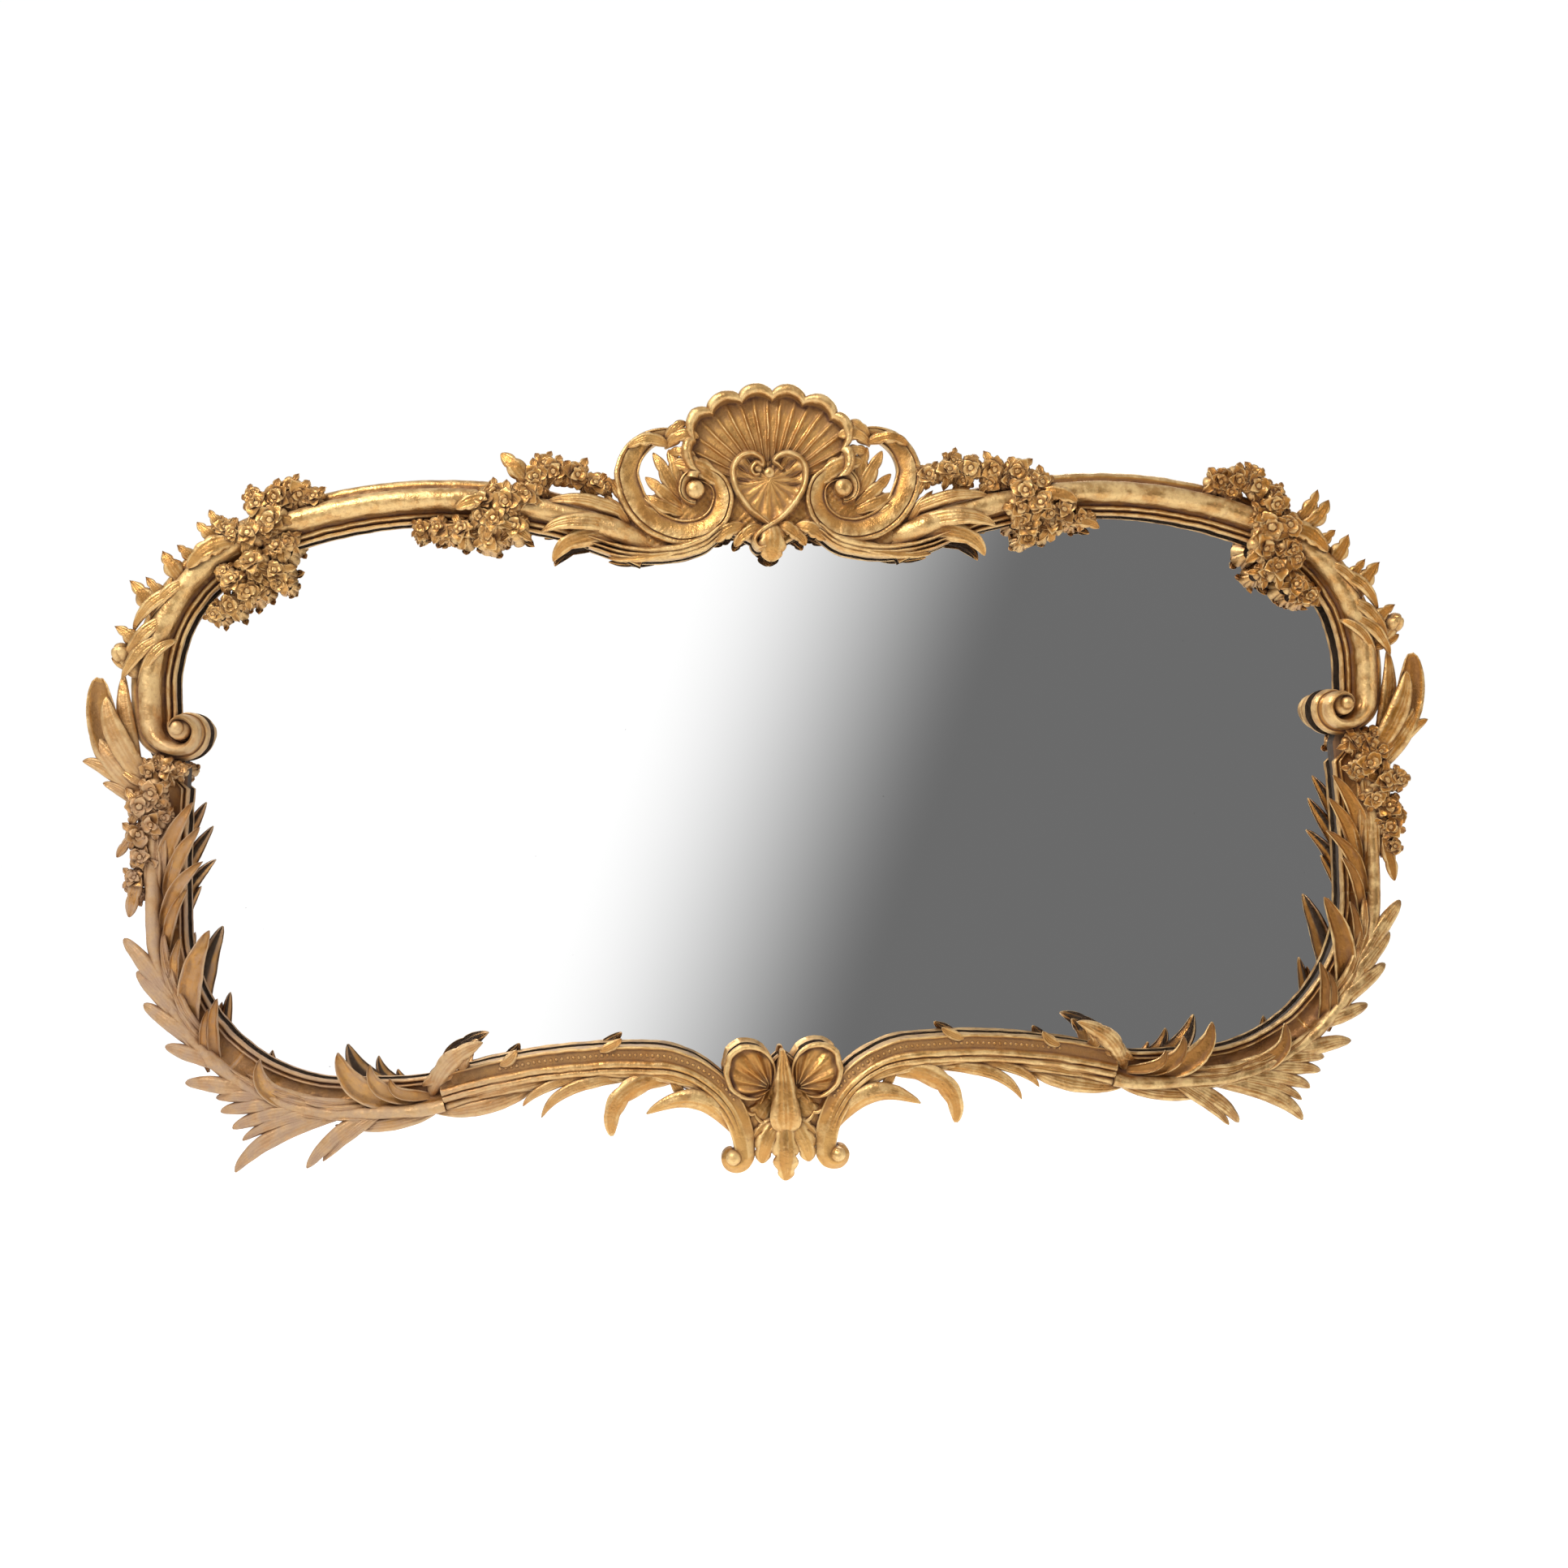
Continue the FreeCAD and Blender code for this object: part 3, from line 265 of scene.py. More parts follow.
TOP = moulding([(-1, 0, 0), (-1, .16, 0), (-.85, .16, .5), (-.81, .09, 0), (-.76, .2, 0), (-.58, .24, .45),
                (-.53, .2, 0), (-.44, .44, -.15), (.52, .46, .5), (.57, .25, 0), (.63, .24, 0),
                (.95, .12, .2), (1, 0, 0)], RAIL_HALF, RAIL_TALL)
PALM = moulding([(-1, 0, 0), (-1, .2, 0), (-.83, .22, .5), (-.79, .14, 0), (-.73, .25, 0), (-.6, .27, .45),
                 (-.56, .2, 0), (.26, .58, -.24), (.31, .64, 0), (.92, .5, .52), (1, .2, 0),
                 (1, 0, 0)], PALM_HALF, PALM_TALL)
BAND = moulding([(-1, 0, 0), (-1, .6, 0), (-.86, .65, .45), (-.8, .59, 0), (-.28, .61, 0), (-.24, .66, 0),
                 (.1, .72, .2), (.14, .62, 0), (.5, .64, .35), (.54, .52, 0), (.92, .44, .35), (1, .2, 0),
                 (1, 0, 0)], BAND_HALF, BAND_TALL)
ROUNDED_TOP = .5 + .26 * np.cos(1.3 * BAND[:, 0] - .3)
PLAIN_FOOT = np.stack([BAND[:, 0], np.where(BAND[:, 1] > .3, ROUNDED_TOP, BAND[:, 1])], 1)
SCROLL = moulding([(-1, 0, 0), (-1, .44, 0), (-.86, .48, .5), (-.8, .42, 0), (.5, .6, .08), (.56, .53, 0),
                   (1, .5, .5), (1, 0, 0)], 15, 40)
ROLL = moulding([(-1, 0, 0), (-1, .4, 0), (1, .4, .3), (1, 0, 0)], 9, 24, 12)


def sweep(carving, points, outs, section, half, tall):
    """Carries a section along a line; section, half width and height may change on the way."""
    section = np.broadcast_to(section, (len(points),) + np.shape(section)[-2:])
    half = np.broadcast_to(half, len(points))
    tall = np.broadcast_to(tall, len(points))
    across = points[:, None] + outs[:, None] * (section[..., 0] * half[:, None])[..., None]
    depth = FACE - section[..., 1] * tall[:, None]
    carving.skin(np.stack([across[..., 0], depth, across[..., 1]], -1))


print("section points:", len(TOP), len(PALM), len(BAND), len(SCROLL))

# %% [markdown]
# ## Leaves
# Acanthus and palm leaves are the body of this frame. Each is a blade that bows in
# the plane of the mirror, rises off the wood and tips forwards at its end. Its
# cut is crowned or hollow, with a vein down the middle and flutes beside it, and
# its edge may be cut into lobes. A flat leaf with a bump map would be cheaper, but
# its outline and its shadow would give it away.

# %% Grow a leaf
def leaf(carving, root, bend, tip, width, lift=(16, 24, 16), crown=0.3, vein=1.3, lobes=0, cut=0.3,
         thick=7.0, roll=0.0, rim=0.0, sharp=0.62, hook=0.0, blunt=False):
    """A leaf from root to tip that sets off towards bend; lift is its height at those three places."""
    along = np.linspace(0, 1, 31 if lobes else 23)
    across = np.linspace(-1, 1, 17)
    weights = np.stack([(1 - along) ** 2, 2 * along * (1 - along), along ** 2], 1)
    spine = weights @ np.array([root, bend, tip], float)
    height = weights @ np.array(lift, float)
    facing = np.gradient(spine, axis=0)
    facing /= np.linalg.norm(facing, axis=1)[:, None]
    sideways = np.stack([-facing[:, 1], facing[:, 0]], 1)
    spine = spine + sideways * (hook * width * along ** 4)[:, None]
    if blunt:
        round_end = np.sqrt(np.clip(1 - ((along - 0.75) / 0.25).clip(0) ** 2, 0.004, 1))
        half = (0.2 + 0.8 * np.sin(along * 1.5)) * round_end
    else:
        half = np.sin(math.pi * (0.015 + 0.98 * along) ** 0.8) ** sharp
    half = half * width / 2
    spread = np.tile(across, (len(along), 1))
    if lobes:
        notch = cut * (1 - np.abs(np.sin(math.pi * lobes * along)) ** 0.7) * (1 - 0.4 * along)
        spread = across * (1 - np.abs(across) ** 3 * notch[:, None])
    lean = across ** 2 * half[:, None] * (0.4 if lobes else 0.16)
    places = spine[:, None] + sideways[:, None] * (spread * half[:, None])[..., None]
    places = places + facing[:, None] * lean[..., None]
    fade = np.sin(math.pi * np.clip(along * 0.9 + 0.05, 0, 1)) ** 0.5
    marks = -vein * np.exp(-(across / 0.12) ** 2) + 0.45 * vein * np.cos(across * 9.4)
    marks = marks + rim * np.exp(-((np.abs(across) - 0.86) / 0.14) ** 2)
    bowl = crown * (1 - across ** 2) + roll * across
    front = height[:, None] + bowl * half[:, None] + marks * fade[:, None]
    back = front - thick * (0.35 + 0.65 * (1 - across ** 2)) * (1 - 0.5 * along)[:, None] - 0.3
    front, back = np.maximum(front, 0.8), np.maximum(back, 0.2)
    sheet = [np.stack([places[..., 0], FACE - depth, places[..., 1]], -1) for depth in (front, back)]
    carving.skin(np.concatenate([sheet[0], sheet[1][:, ::-1]], 1))


def leaves(carving, rows, **look):
    """Several leaves of one look: each row is a root, a bend, a tip and a width."""
    for root, bend, tip, width in rows:
        leaf(carving, root, bend, tip, width, **look)


def peel(carving, arc, rows, **look):
    """Leaves that run along a stem and then leave it: root angle, parting angle and reach, tip, width."""
    for root, parting, out, tip, width in rows:
        leaf(carving, arc.spot(root, 9), arc.spot(parting, out), tip, width, **look)


def strand(carving, arc, start, end, out, width, lift, **look):
    """A leaf that lies along an arc, as the overlapping sheaths of a stem do."""
    swell = (arc.radius + arc.outwards * out) * (1 / math.cos(math.radians(end - start) / 2) - 1)
    bend = arc.spot((start + end) / 2, out + arc.outwards * swell)
    leaf(carving, arc.spot(start, out), bend, arc.spot(end, out), width, lift, **look)


def sheathe(carving, arc, starts, span):
    """Strands that overlap along a stem: on its back, its middle and its front in turn."""
    for index, start in enumerate(starts):
        strand(carving, arc, start, start + span, (16, 9, 2)[index % 3], 13, (8, 34, 14), vein=1.5)


# %% [markdown]
# ## Flowers, buds and knobs
# The clusters are crowded with small open flowers. One flower is two rows of petals
# and a button. Every petal is a leaf of its own, cupped and turned over at its end,
# because a carver never cuts two alike: a seeded random amount changes its length,
# its turn and how far it stands up. Petals drawn as one wavy ring would be lighter,
# but they look stamped.

# %% Open a flower
def frame_of(tilt):
    """Right, up and outward directions for a thing that leans by tilt."""
    out = Vector((tilt[0], -1, tilt[1])).normalized()
    right = Vector((0, 0, 1)).cross(out).normalized()
    return np.array(right), np.array(out.cross(right)), np.array(out)


def spin(carving, spot, depth, tilt, rows, petals, turn, radius):
    """Rings round an axis; each row is a reach, a height and how lobed the ring is."""
    right, up, out = frame_of(tilt)
    around = np.linspace(0, 2 * math.pi, petals * 8, endpoint=False)
    middle = np.array([spot[0], FACE - depth, spot[1]])
    rings = []
    for reach, height, lobed in rows:
        lobe = np.abs(np.sin(petals * around / 2)) ** 0.5
        far = radius * reach * (1 - lobed * (1 - lobe))
        ring = np.outer(np.cos(around + turn) * far, right) + np.outer(np.sin(around + turn) * far, up)
        rings.append(ring + out * radius * height + middle)
    carving.skin(rings)


def petal(carving, base, away, beside, out, length, rise):
    """One petal from a flower's middle: it swells, cups and turns over at its end."""
    along = np.linspace(0, 1, 9)[:, None]
    across = np.linspace(-1, 1, 7)
    half = length * 0.5 * np.sin(math.pi * (0.05 + 0.9 * along) ** 0.9) ** 0.5
    far = length * along * (1 - 0.14 * across ** 2)
    climb = length * (rise * np.sin(2.5 * along) + 0.16 * across ** 2 * np.sin(3 * along))
    front = base + far[..., None] * away + (half * across)[..., None] * beside + climb[..., None] * out
    back = front - out * (0.5 + 2.2 * (1 - across ** 2))[:, None]
    carving.skin(np.concatenate([front, back[:, ::-1]], 1))


CUSHION = [(1.25, -.35, .2), (1.2, -.15, .3), (.9, .08, .25), (.5, .14, .1), (.1, .16, 0)]
BUTTON = [(.24, -.05, 0), (.28, .22, .12), (.22, .33, .2), (.1, .36, 0), (.02, .33, 0)]


def flower(carving, spot, depth, radius, tilt, chance):
    """Two rows of petals and a button."""
    right, up, out = frame_of(tilt)
    middle = np.array([spot[0], FACE - depth, spot[1]])
    first = chance.uniform(0, 6)
    count = chance.choice((4, 5, 5, 6))
    for petals, size, rise in ((count, 1.15, 0.1), (count - 1, 0.75, 0.45)):
        for index in range(petals):
            turn = first + (index + chance.uniform(-0.25, 0.25)) * 2 * math.pi / petals
            away = math.cos(turn) * right + math.sin(turn) * up
            beside = math.cos(turn) * up - math.sin(turn) * right
            length = radius * size * chance.uniform(0.8, 1.15)
            petal(carving, middle, away, beside, out, length, rise + chance.uniform(-0.15, 0.2))
    spin(carving, spot, depth, tilt, BUTTON, 5, first, radius)


BUD = [(.55, -.7, 0), (.9, -.4, .12), (.96, .0, .24), (.86, .4, .3), (.6, .8, .34),
       (.3, 1.0, .3), (.06, .95, 0)]


def bud(carving, spot, depth, radius, tilt=(0, 0), turn=0.0):
    """A round bud, half closed, with seams between its petals."""
    spin(carving, spot, depth, tilt, [(.45, -depth / radius, 0)] + BUD, 3, turn, radius)


def knob(carving, spot, depth, radius, rise=1.0):
    """A smooth dome, such as the eye of a scroll, that stands on the wood."""
    angles = np.radians(np.linspace(0, 88, 8))
    rows = [(1.0, -depth / radius, 0)] + [(math.cos(a), math.sin(a) * rise, 0) for a in angles]
    spin(carving, spot, depth, (0, 0), rows, 2, 0.0, radius)


def posy(carving, seed, spots):
    """Flowers among leaves; each row, a place, a height and a radius, gets a smaller neighbour."""
    chance = random.Random(seed)
    for x, z, depth, radius in spots:
        turn = chance.uniform(0, 6)
        away = radius * chance.uniform(0.9, 1.2)
        crowd = [(x, z, depth, radius),
                 (x + away * math.cos(turn), z + away * math.sin(turn), depth - 5, radius * 0.75)]
        for x, z, depth, radius in crowd:
            depth = min(depth, 50 - radius)
            stool = [(0.6, (4 - depth) / radius, 0)] + CUSHION
            spin(carving, (x, z), depth - 4, (0, 0), stool, 6, turn, radius)
            for part in range(4):
                turn += chance.uniform(1.2, 2.0)
                facing = np.array([math.cos(turn), math.sin(turn)])
                middle = np.array([x, z])
                tip = middle + facing * radius * chance.uniform(1.4, 1.9)
                leaf(carving, middle, middle + facing * radius, tip, radius * 0.9,
                     (depth - 6, depth + 2, depth - 10), crown=0.2, lobes=2, cut=0.4, sharp=1.0)
            tilt = (chance.uniform(-0.5, 0.5), chance.uniform(-0.5, 0.5))
            flower(carving, (x, z), depth, radius, tilt, chance)


print("a flower and its posy are ready")

# %% [markdown]
# ## The upper rails
# Four lengths of rail make each side of the arch. The inner one ends in leaves beside
# the crest, the outer one is a plain moulding, and two are carved with flowers. The
# rail runs on under the flowers, so each cluster starts with its own stretch of rail.
# The flowers of the left and the right hand differ, as they do on the real frame.

# %% Rails and flower clusters of the arch
TOP_FLOWERS = {
    1: [(190, 364, 20, 12), (214, 368, 22, 13), (240, 371, 22, 14), (268, 369, 24, 14), (296, 366, 26, 14),
        (324, 352, 28, 13), (304, 342, 34, 15), (322, 326, 36, 15), (296, 322, 34, 13), (350, 318, 28, 14),
        (336, 302, 24, 14), (310, 302, 24, 13), (372, 310, 20, 10)],
    -1: [(204, 358, 20, 12), (226, 368, 22, 14), (252, 372, 22, 14), (274, 366, 26, 13), (284, 346, 32, 14),
         (308, 336, 34, 15), (336, 338, 32, 13), (322, 316, 36, 15), (300, 308, 26, 14), (330, 296, 24, 14),
         (360, 304, 24, 14), (388, 308, 20, 12), (408, 310, 16, 9)]}

for hand, tag in HANDS:
    inner = Carving(hand)
    points, outs = arch.run(115.6, 104.6)
    tall = np.interp(np.arange(len(points)), [0, 12], [10, RAIL_TALL])
    sweep(inner, points, outs, TOP, RAIL_HALF, tall)
    leaf(inner, (136, 290), (230, 312), (262, 272), 24, (2, 34, 14), crown=.25, lobes=3, cut=.25,
         roll=.2, hook=-.3)
    leaf(inner, (150, 296), (222, 326), (268, 302), 21, (0, 48, 26), crown=.3, vein=1.8)
    leaf(inner, (150, 312), (214, 348), (262, 336), 16, (0, 44, 22), crown=.3, vein=1.6)
    keep("top_rail_inner_carving_" + tag, inner, "top_rail_inner_" + tag)

    cluster = Carving(hand)
    sweep(cluster, *arch.run(104.6, 92.0), TOP, RAIL_HALF, RAIL_TALL)
    posy(cluster, 11 + hand, TOP_FLOWERS[hand])
    if hand < 0:
        leaf(cluster, (278, 350), (290, 372), (313, 393), 24, (14, 34, 24), lobes=3)
    leaf(cluster, (312, 340), (344, 342), (366, 328), 20, (22, 42, 32), crown=.2, lobes=4)
    leaf(cluster, (352, 306), (376, 310), (396, 298), 15, (14, 26, 16), lobes=3)
    keep("top_cluster_carving_" + tag, cluster, "top_cluster_" + tag)

    outer = Carving(hand)
    sweep(outer, *arch.run(92.0, CLUSTER_START), TOP, RAIL_HALF, RAIL_TALL)
    keep("top_rail_outer_carving_" + tag, outer, "top_rail_outer_" + tag)

# %% The corner clusters
CORNER_FLOWERS = {
    1: [(542, 351, 24, 14), (564, 352, 26, 15), (588, 344, 28, 14), (610, 334, 28, 11), (604, 296, 38, 20),
        (594, 270, 30, 16), (610, 246, 28, 15), (634, 226, 26, 13), (652, 212, 22, 11), (608, 322, 36, 13),
        (626, 268, 34, 13), (592, 308, 32, 12)],
    -1: [(530, 345, 22, 11), (546, 349, 24, 14), (572, 345, 26, 14), (592, 336, 28, 13), (576, 318, 36, 16),
         (602, 302, 38, 15), (570, 288, 30, 14), (576, 260, 26, 14), (598, 270, 34, 14), (606, 238, 26, 13),
         (628, 222, 22, 12), (646, 212, 20, 9), (622, 250, 32, 12), (630, 310, 26, 11)]}
CORNER_TUFTS = {1: [((638, 292), (662, 300), (678, 328), 24), ((636, 298), (654, 316), (664, 340), 18)],
                -1: [((628, 296), (648, 300), (662, 318), 18), ((628, 306), (640, 316), (648, 332), 14)]}

for hand, tag in HANDS:
    cluster = Carving(hand)
    sweep(cluster, *arch.run(CLUSTER_START, SHOULDER_START), TOP, RAIL_HALF, RAIL_TALL)
    sweep(cluster, *shoulder.run(SHOULDER_START, CLUSTER_END), TOP, RAIL_HALF, RAIL_TALL)
    posy(cluster, 21 + hand, CORNER_FLOWERS[hand])
    leaves(cluster, CORNER_TUFTS[hand], lift=(12, 32, 22), lobes=3, cut=.45, sharp=.8)
    leaf(cluster, (612, 296), (646, 296), (672, 264), 24, (22, 44, 30), crown=.2, lobes=4)
    keep("corner_cluster_carving_" + tag, cluster, "corner_cluster_" + tag)

# %% [markdown]
# ## The shoulder and its volute
# The rail comes down over the shoulder and rolls up into a volute. One line carries
# the whole move: the arc, a short straight run, and four quarter turns that shrink.
# The section narrows and rises as it winds, so the volute stands proud of the
# glass, and a round eye closes it. Leaves sheathe the upper shoulder, and a spray
# of long leaves fans out behind the volute. The widest of them is a spoon whose
# rim catches the light.

# %% Shoulder scrolls
def volute(carving):
    bend, outs = shoulder.run(CLUSTER_END, 0)
    start = shoulder.spot(0) - np.array([0, 34])
    run = np.linspace(shoulder.spot(0), start, 10)[1:-1]
    curl, lefts, reached = turned(start, -90, [(33, -90), (20, -90), (15, -90), (10.5, -90)])
    points = np.concatenate([bend, run, curl])
    sides = np.concatenate([outs, np.tile([1.0, 0.0], (len(run), 1)), lefts])
    before = len(bend) + len(run)
    narrowing = np.interp(reached, range(5), (RAIL_HALF, 13.5, 10, 7.5, 5))
    rising = np.interp(reached, range(5), (RAIL_TALL, 50, 60, 64, 64))
    half = np.concatenate([np.full(before, RAIL_HALF), narrowing])
    tall = np.concatenate([np.full(before, RAIL_TALL), rising])
    sweep(carving, points, sides, TOP, half, tall)
    knob(carving, (684, 80), 37, 13, 0.5)
    knob(carving, (686, 81), 43, 8.5, 0.95)


SHEATH = [((684, 240), (716, 232), (738, 194), 15), ((672, 252), (700, 240), (718, 208), 13),
          ((698, 208), (728, 194), (749, 156), 15), ((700, 188), (732, 174), (752, 138), 15),
          ((690, 182), (716, 172), (734, 132), 12)]
SHOULDER_LEAVES = [((672, 240), (690, 262), (702, 286), 24), ((656, 262), (672, 282), (686, 292), 16),
                   ((704, 196), (716, 232), (740, 252), 26), ((694, 212), (706, 240), (722, 256), 18),
                   ((718, 156), (736, 190), (758, 200), 20)]
BUD_SPOT = {1: (758, 178), -1: (752, 169)}
SPRAY = {
    1: [((714, -10), (764, 34), (789, 83), 28), ((718, -12), (764, 48), (798, 60), 19),
        ((720, -14), (752, 28), (776, 40), 15)],
    -1: [((714, -10), (764, 34), (789, 79), 28), ((718, -14), (766, 44), (799, 46), 19),
         ((722, -18), (756, 16), (777, 20), 14)]}

for hand, tag in HANDS:
    scroll = Carving(hand)
    volute(scroll)
    leaves(scroll, SHEATH, lift=(22, 42, 17), crown=.2, vein=1.0, thick=10)
    leaves(scroll, SHOULDER_LEAVES, lift=(8, 26, 20), lobes=3, cut=.5, sharp=1.0)
    x, z = BUD_SPOT[hand]
    leaf(scroll, (726, z - 26), (x - 12, z - 16), (x + 6, z + 8), 26, (4, 20, 14), crown=.5)
    bud(scroll, (x - 1, z), 16, 13, (.3, .4), .4)
    leaf(scroll, (736, 20), (754, 90), (752, 146), 20, (4, 22, 8), vein=.8)
    leaf(scroll, (726, 150), (744, 150), (764, 164), 14, (8, 22, 14), lobes=2)
    leaves(scroll, SPRAY[hand], lift=(8, 25, 14), crown=.3)
    leaf(scroll, (716, -6), (788, 68), (767, 138), 40, (4, 30, 24), crown=-.4, vein=.8, rim=2.4, thick=8,
         sharp=.4, hook=-.2)
    leaf(scroll, (718, 4), (768, 76), (767, 118), 26, (12, 33, 28), crown=.3, vein=1.0)
    keep("shoulder_scroll_carving_" + tag, scroll, "shoulder_scroll_" + tag)

# %% [markdown]
# ## The side flowers and the palm branch
# A palm branch grows from the bottom of the frame, round the lower corner and up the
# side. Its stem is a bundle of overlapping sheaths on the outer rib of the section.
# Every leaf springs from the stem and its tip leads up the branch: blades stand up
# inside the cove, and shorter ones peel off the back. The tables give each leaf's
# root, the place it sets off towards, its tip and its width.

# %% Side clusters and palm branches
SIDE_FLOWERS = {
    1: [(702, 34, 26, 12), (722, 30, 24, 12), (716, 8, 32, 14), (736, -14, 32, 16), (742, -44, 28, 14),
        (744, -70, 26, 13), (748, -94, 22, 11), (722, -34, 32, 12), (734, 22, 24, 11)],
    -1: [(702, 34, 26, 12), (722, 32, 24, 11), (718, 8, 32, 14), (732, -8, 30, 15), (736, -40, 28, 13),
         (733, -66, 26, 12), (741, -90, 22, 11), (718, -28, 32, 12), (741, -110, 18, 9)]}
SIDE_BLADES = [((716, -118), (714, -52), (670, -9), 21), ((710, -124), (700, -68), (664, -37), 18),
               ((713, -172), (710, -100), (662, -77), 18), ((713, -186), (704, -126), (680, -107), 13)]
SIDE_BACK = [((736, -80), (744, -110), (750, -135), 17), ((736, -36), (752, -50), (762, -66), 12),
             ((726, 14), (744, 26), (756, 36), 12)]
PALM_BLADES = [((684, -288), (694, -204), (653, -157), 27), ((702, -240), (704, -190), (688, -160), 12),
               ((655, -318), (664, -262), (648, -233), 15), ((668, -318), (672, -268), (659, -244), 11)]
PALM_BACK = [(-30, -8, 24, (758, -160), 20), (-38, -17, 22, (744, -198), 19), (-46, -26, 23, (737, -236), 20),
             (-49, -38, 23, (714, -285), 19), (-34, -14, 18, (739, -178), 16)]
FOOT_BLADES = [((516, -368), (620, -352), (600, -304), 23), ((424, -362), (512, -354), (510, -298), 29),
               ((410, -357), (484, -354), (476, -314), 20), ((406, -354), (458, -354), (455, -330), 14)]
FOOT_BACK = [(-66, -49, 27, (692, -328), 20), (-77, -60, 26, (653, -363), 18),
             (-71, -56, 22, (658, -347), 16), (-84, -64, 28, (640, -383), 19),
             (-88, -68, 26, (629, -397), 17), (-104, -88, 34, (538, -424), 14)]
FOOT_ENDS = {1: [(-92, -66, 45, (629, -422), 21), (-101, -84, 32, (550, -422), 19)],
             -1: [(-92, -66, 48, (638, -433), 21), (-101, -84, 34, (557, -432), 19)]}

for hand, tag in HANDS:
    cluster = Carving(hand)
    points, outs = side.run(5.1, 0.5)
    taper = np.interp(np.arange(len(points)), [0, 8], [0.15, 1])
    points = points + outs * ((1 - taper) * 16)[:, None]
    sweep(cluster, points, outs, PALM, PALM_HALF * taper, PALM_TALL * taper)
    sheathe(cluster, side, np.arange(0.5, 2.4, 0.38), 2.6)
    posy(cluster, 31 + hand, SIDE_FLOWERS[hand])
    leaves(cluster, SIDE_BLADES, lift=(6, 34, 26), crown=-.35, rim=2.2, vein=.5, hook=-.25)
    leaves(cluster, SIDE_BACK, lift=(20, 24, 18), lobes=2)
    keep("side_cluster_carving_" + tag, cluster, "side_cluster_" + tag)

    branch = Carving(hand)
    sweep(branch, *side.run(0.5, 0), PALM, PALM_HALF, PALM_TALL)
    sweep(branch, *corner.run(0, -50), PALM, PALM_HALF, PALM_TALL)
    sheathe(branch, corner, np.arange(-49, -24, 4.4), 27)
    leaves(branch, PALM_BLADES, lift=(6, 35, 27), crown=-.35, rim=2.2, vein=.5, hook=-.25)
    peel(branch, corner, PALM_BACK, lift=(8, 34, 14), crown=.5, vein=1.3, sharp=.5)
    keep("palm_side_carving_" + tag, branch, "palm_side_" + tag)

    foot = Carving(hand)
    sweep(foot, *corner.run(-50, -90), PALM, PALM_HALF, PALM_TALL)
    line = free_line([(502.5, -356.5), (470, -356.5), (442, -356.5), (420, -355.1), (400, -351)])
    sweep(foot, line[0], line[1], PALM, PALM_HALF, PALM_TALL)
    sheathe(foot, corner, np.arange(-104, -72, 4.4), 27)
    leaves(foot, FOOT_BLADES, lift=(6, 35, 29), crown=-.3, rim=2.2, vein=.5, hook=-.2)
    peel(foot, corner, FOOT_BACK + FOOT_ENDS[hand], lift=(8, 34, 14), crown=.5, vein=1.3, sharp=.5)
    leaf(foot, (398, -364), (450, -392), (524, -384), 18, (6, 24, 10), crown=.4)
    keep("palm_foot_carving_" + tag, foot, "palm_foot_" + tag)

# %% [markdown]
# ## The beaded band and its foot
# Below the plate two bands sweep down to the middle, where each turns outwards into
# a rolled foot. A row of small beads runs along the flat under the rim. Leaves set
# off along the lower rib and droop from it, and at the outer end a leaf climbs over
# the rim and curls back.

# %% Beaded bands
BAND_LEAVES = [((210, -334), (290, -340), (307, -370), 12), ((160, -340), (268, -336), (285, -384), 15)]
BAND_RIBS = [((150, -336), (250, -318), (340, -340), 13), ((110, -348), (190, -326), (262, -334), 13),
             ((240, -330), (330, -336), (398, -362), 14), ((84, -364), (116, -338), (190, -334), 12),
             ((260, -338), (330, -346), (380, -362), 12)]

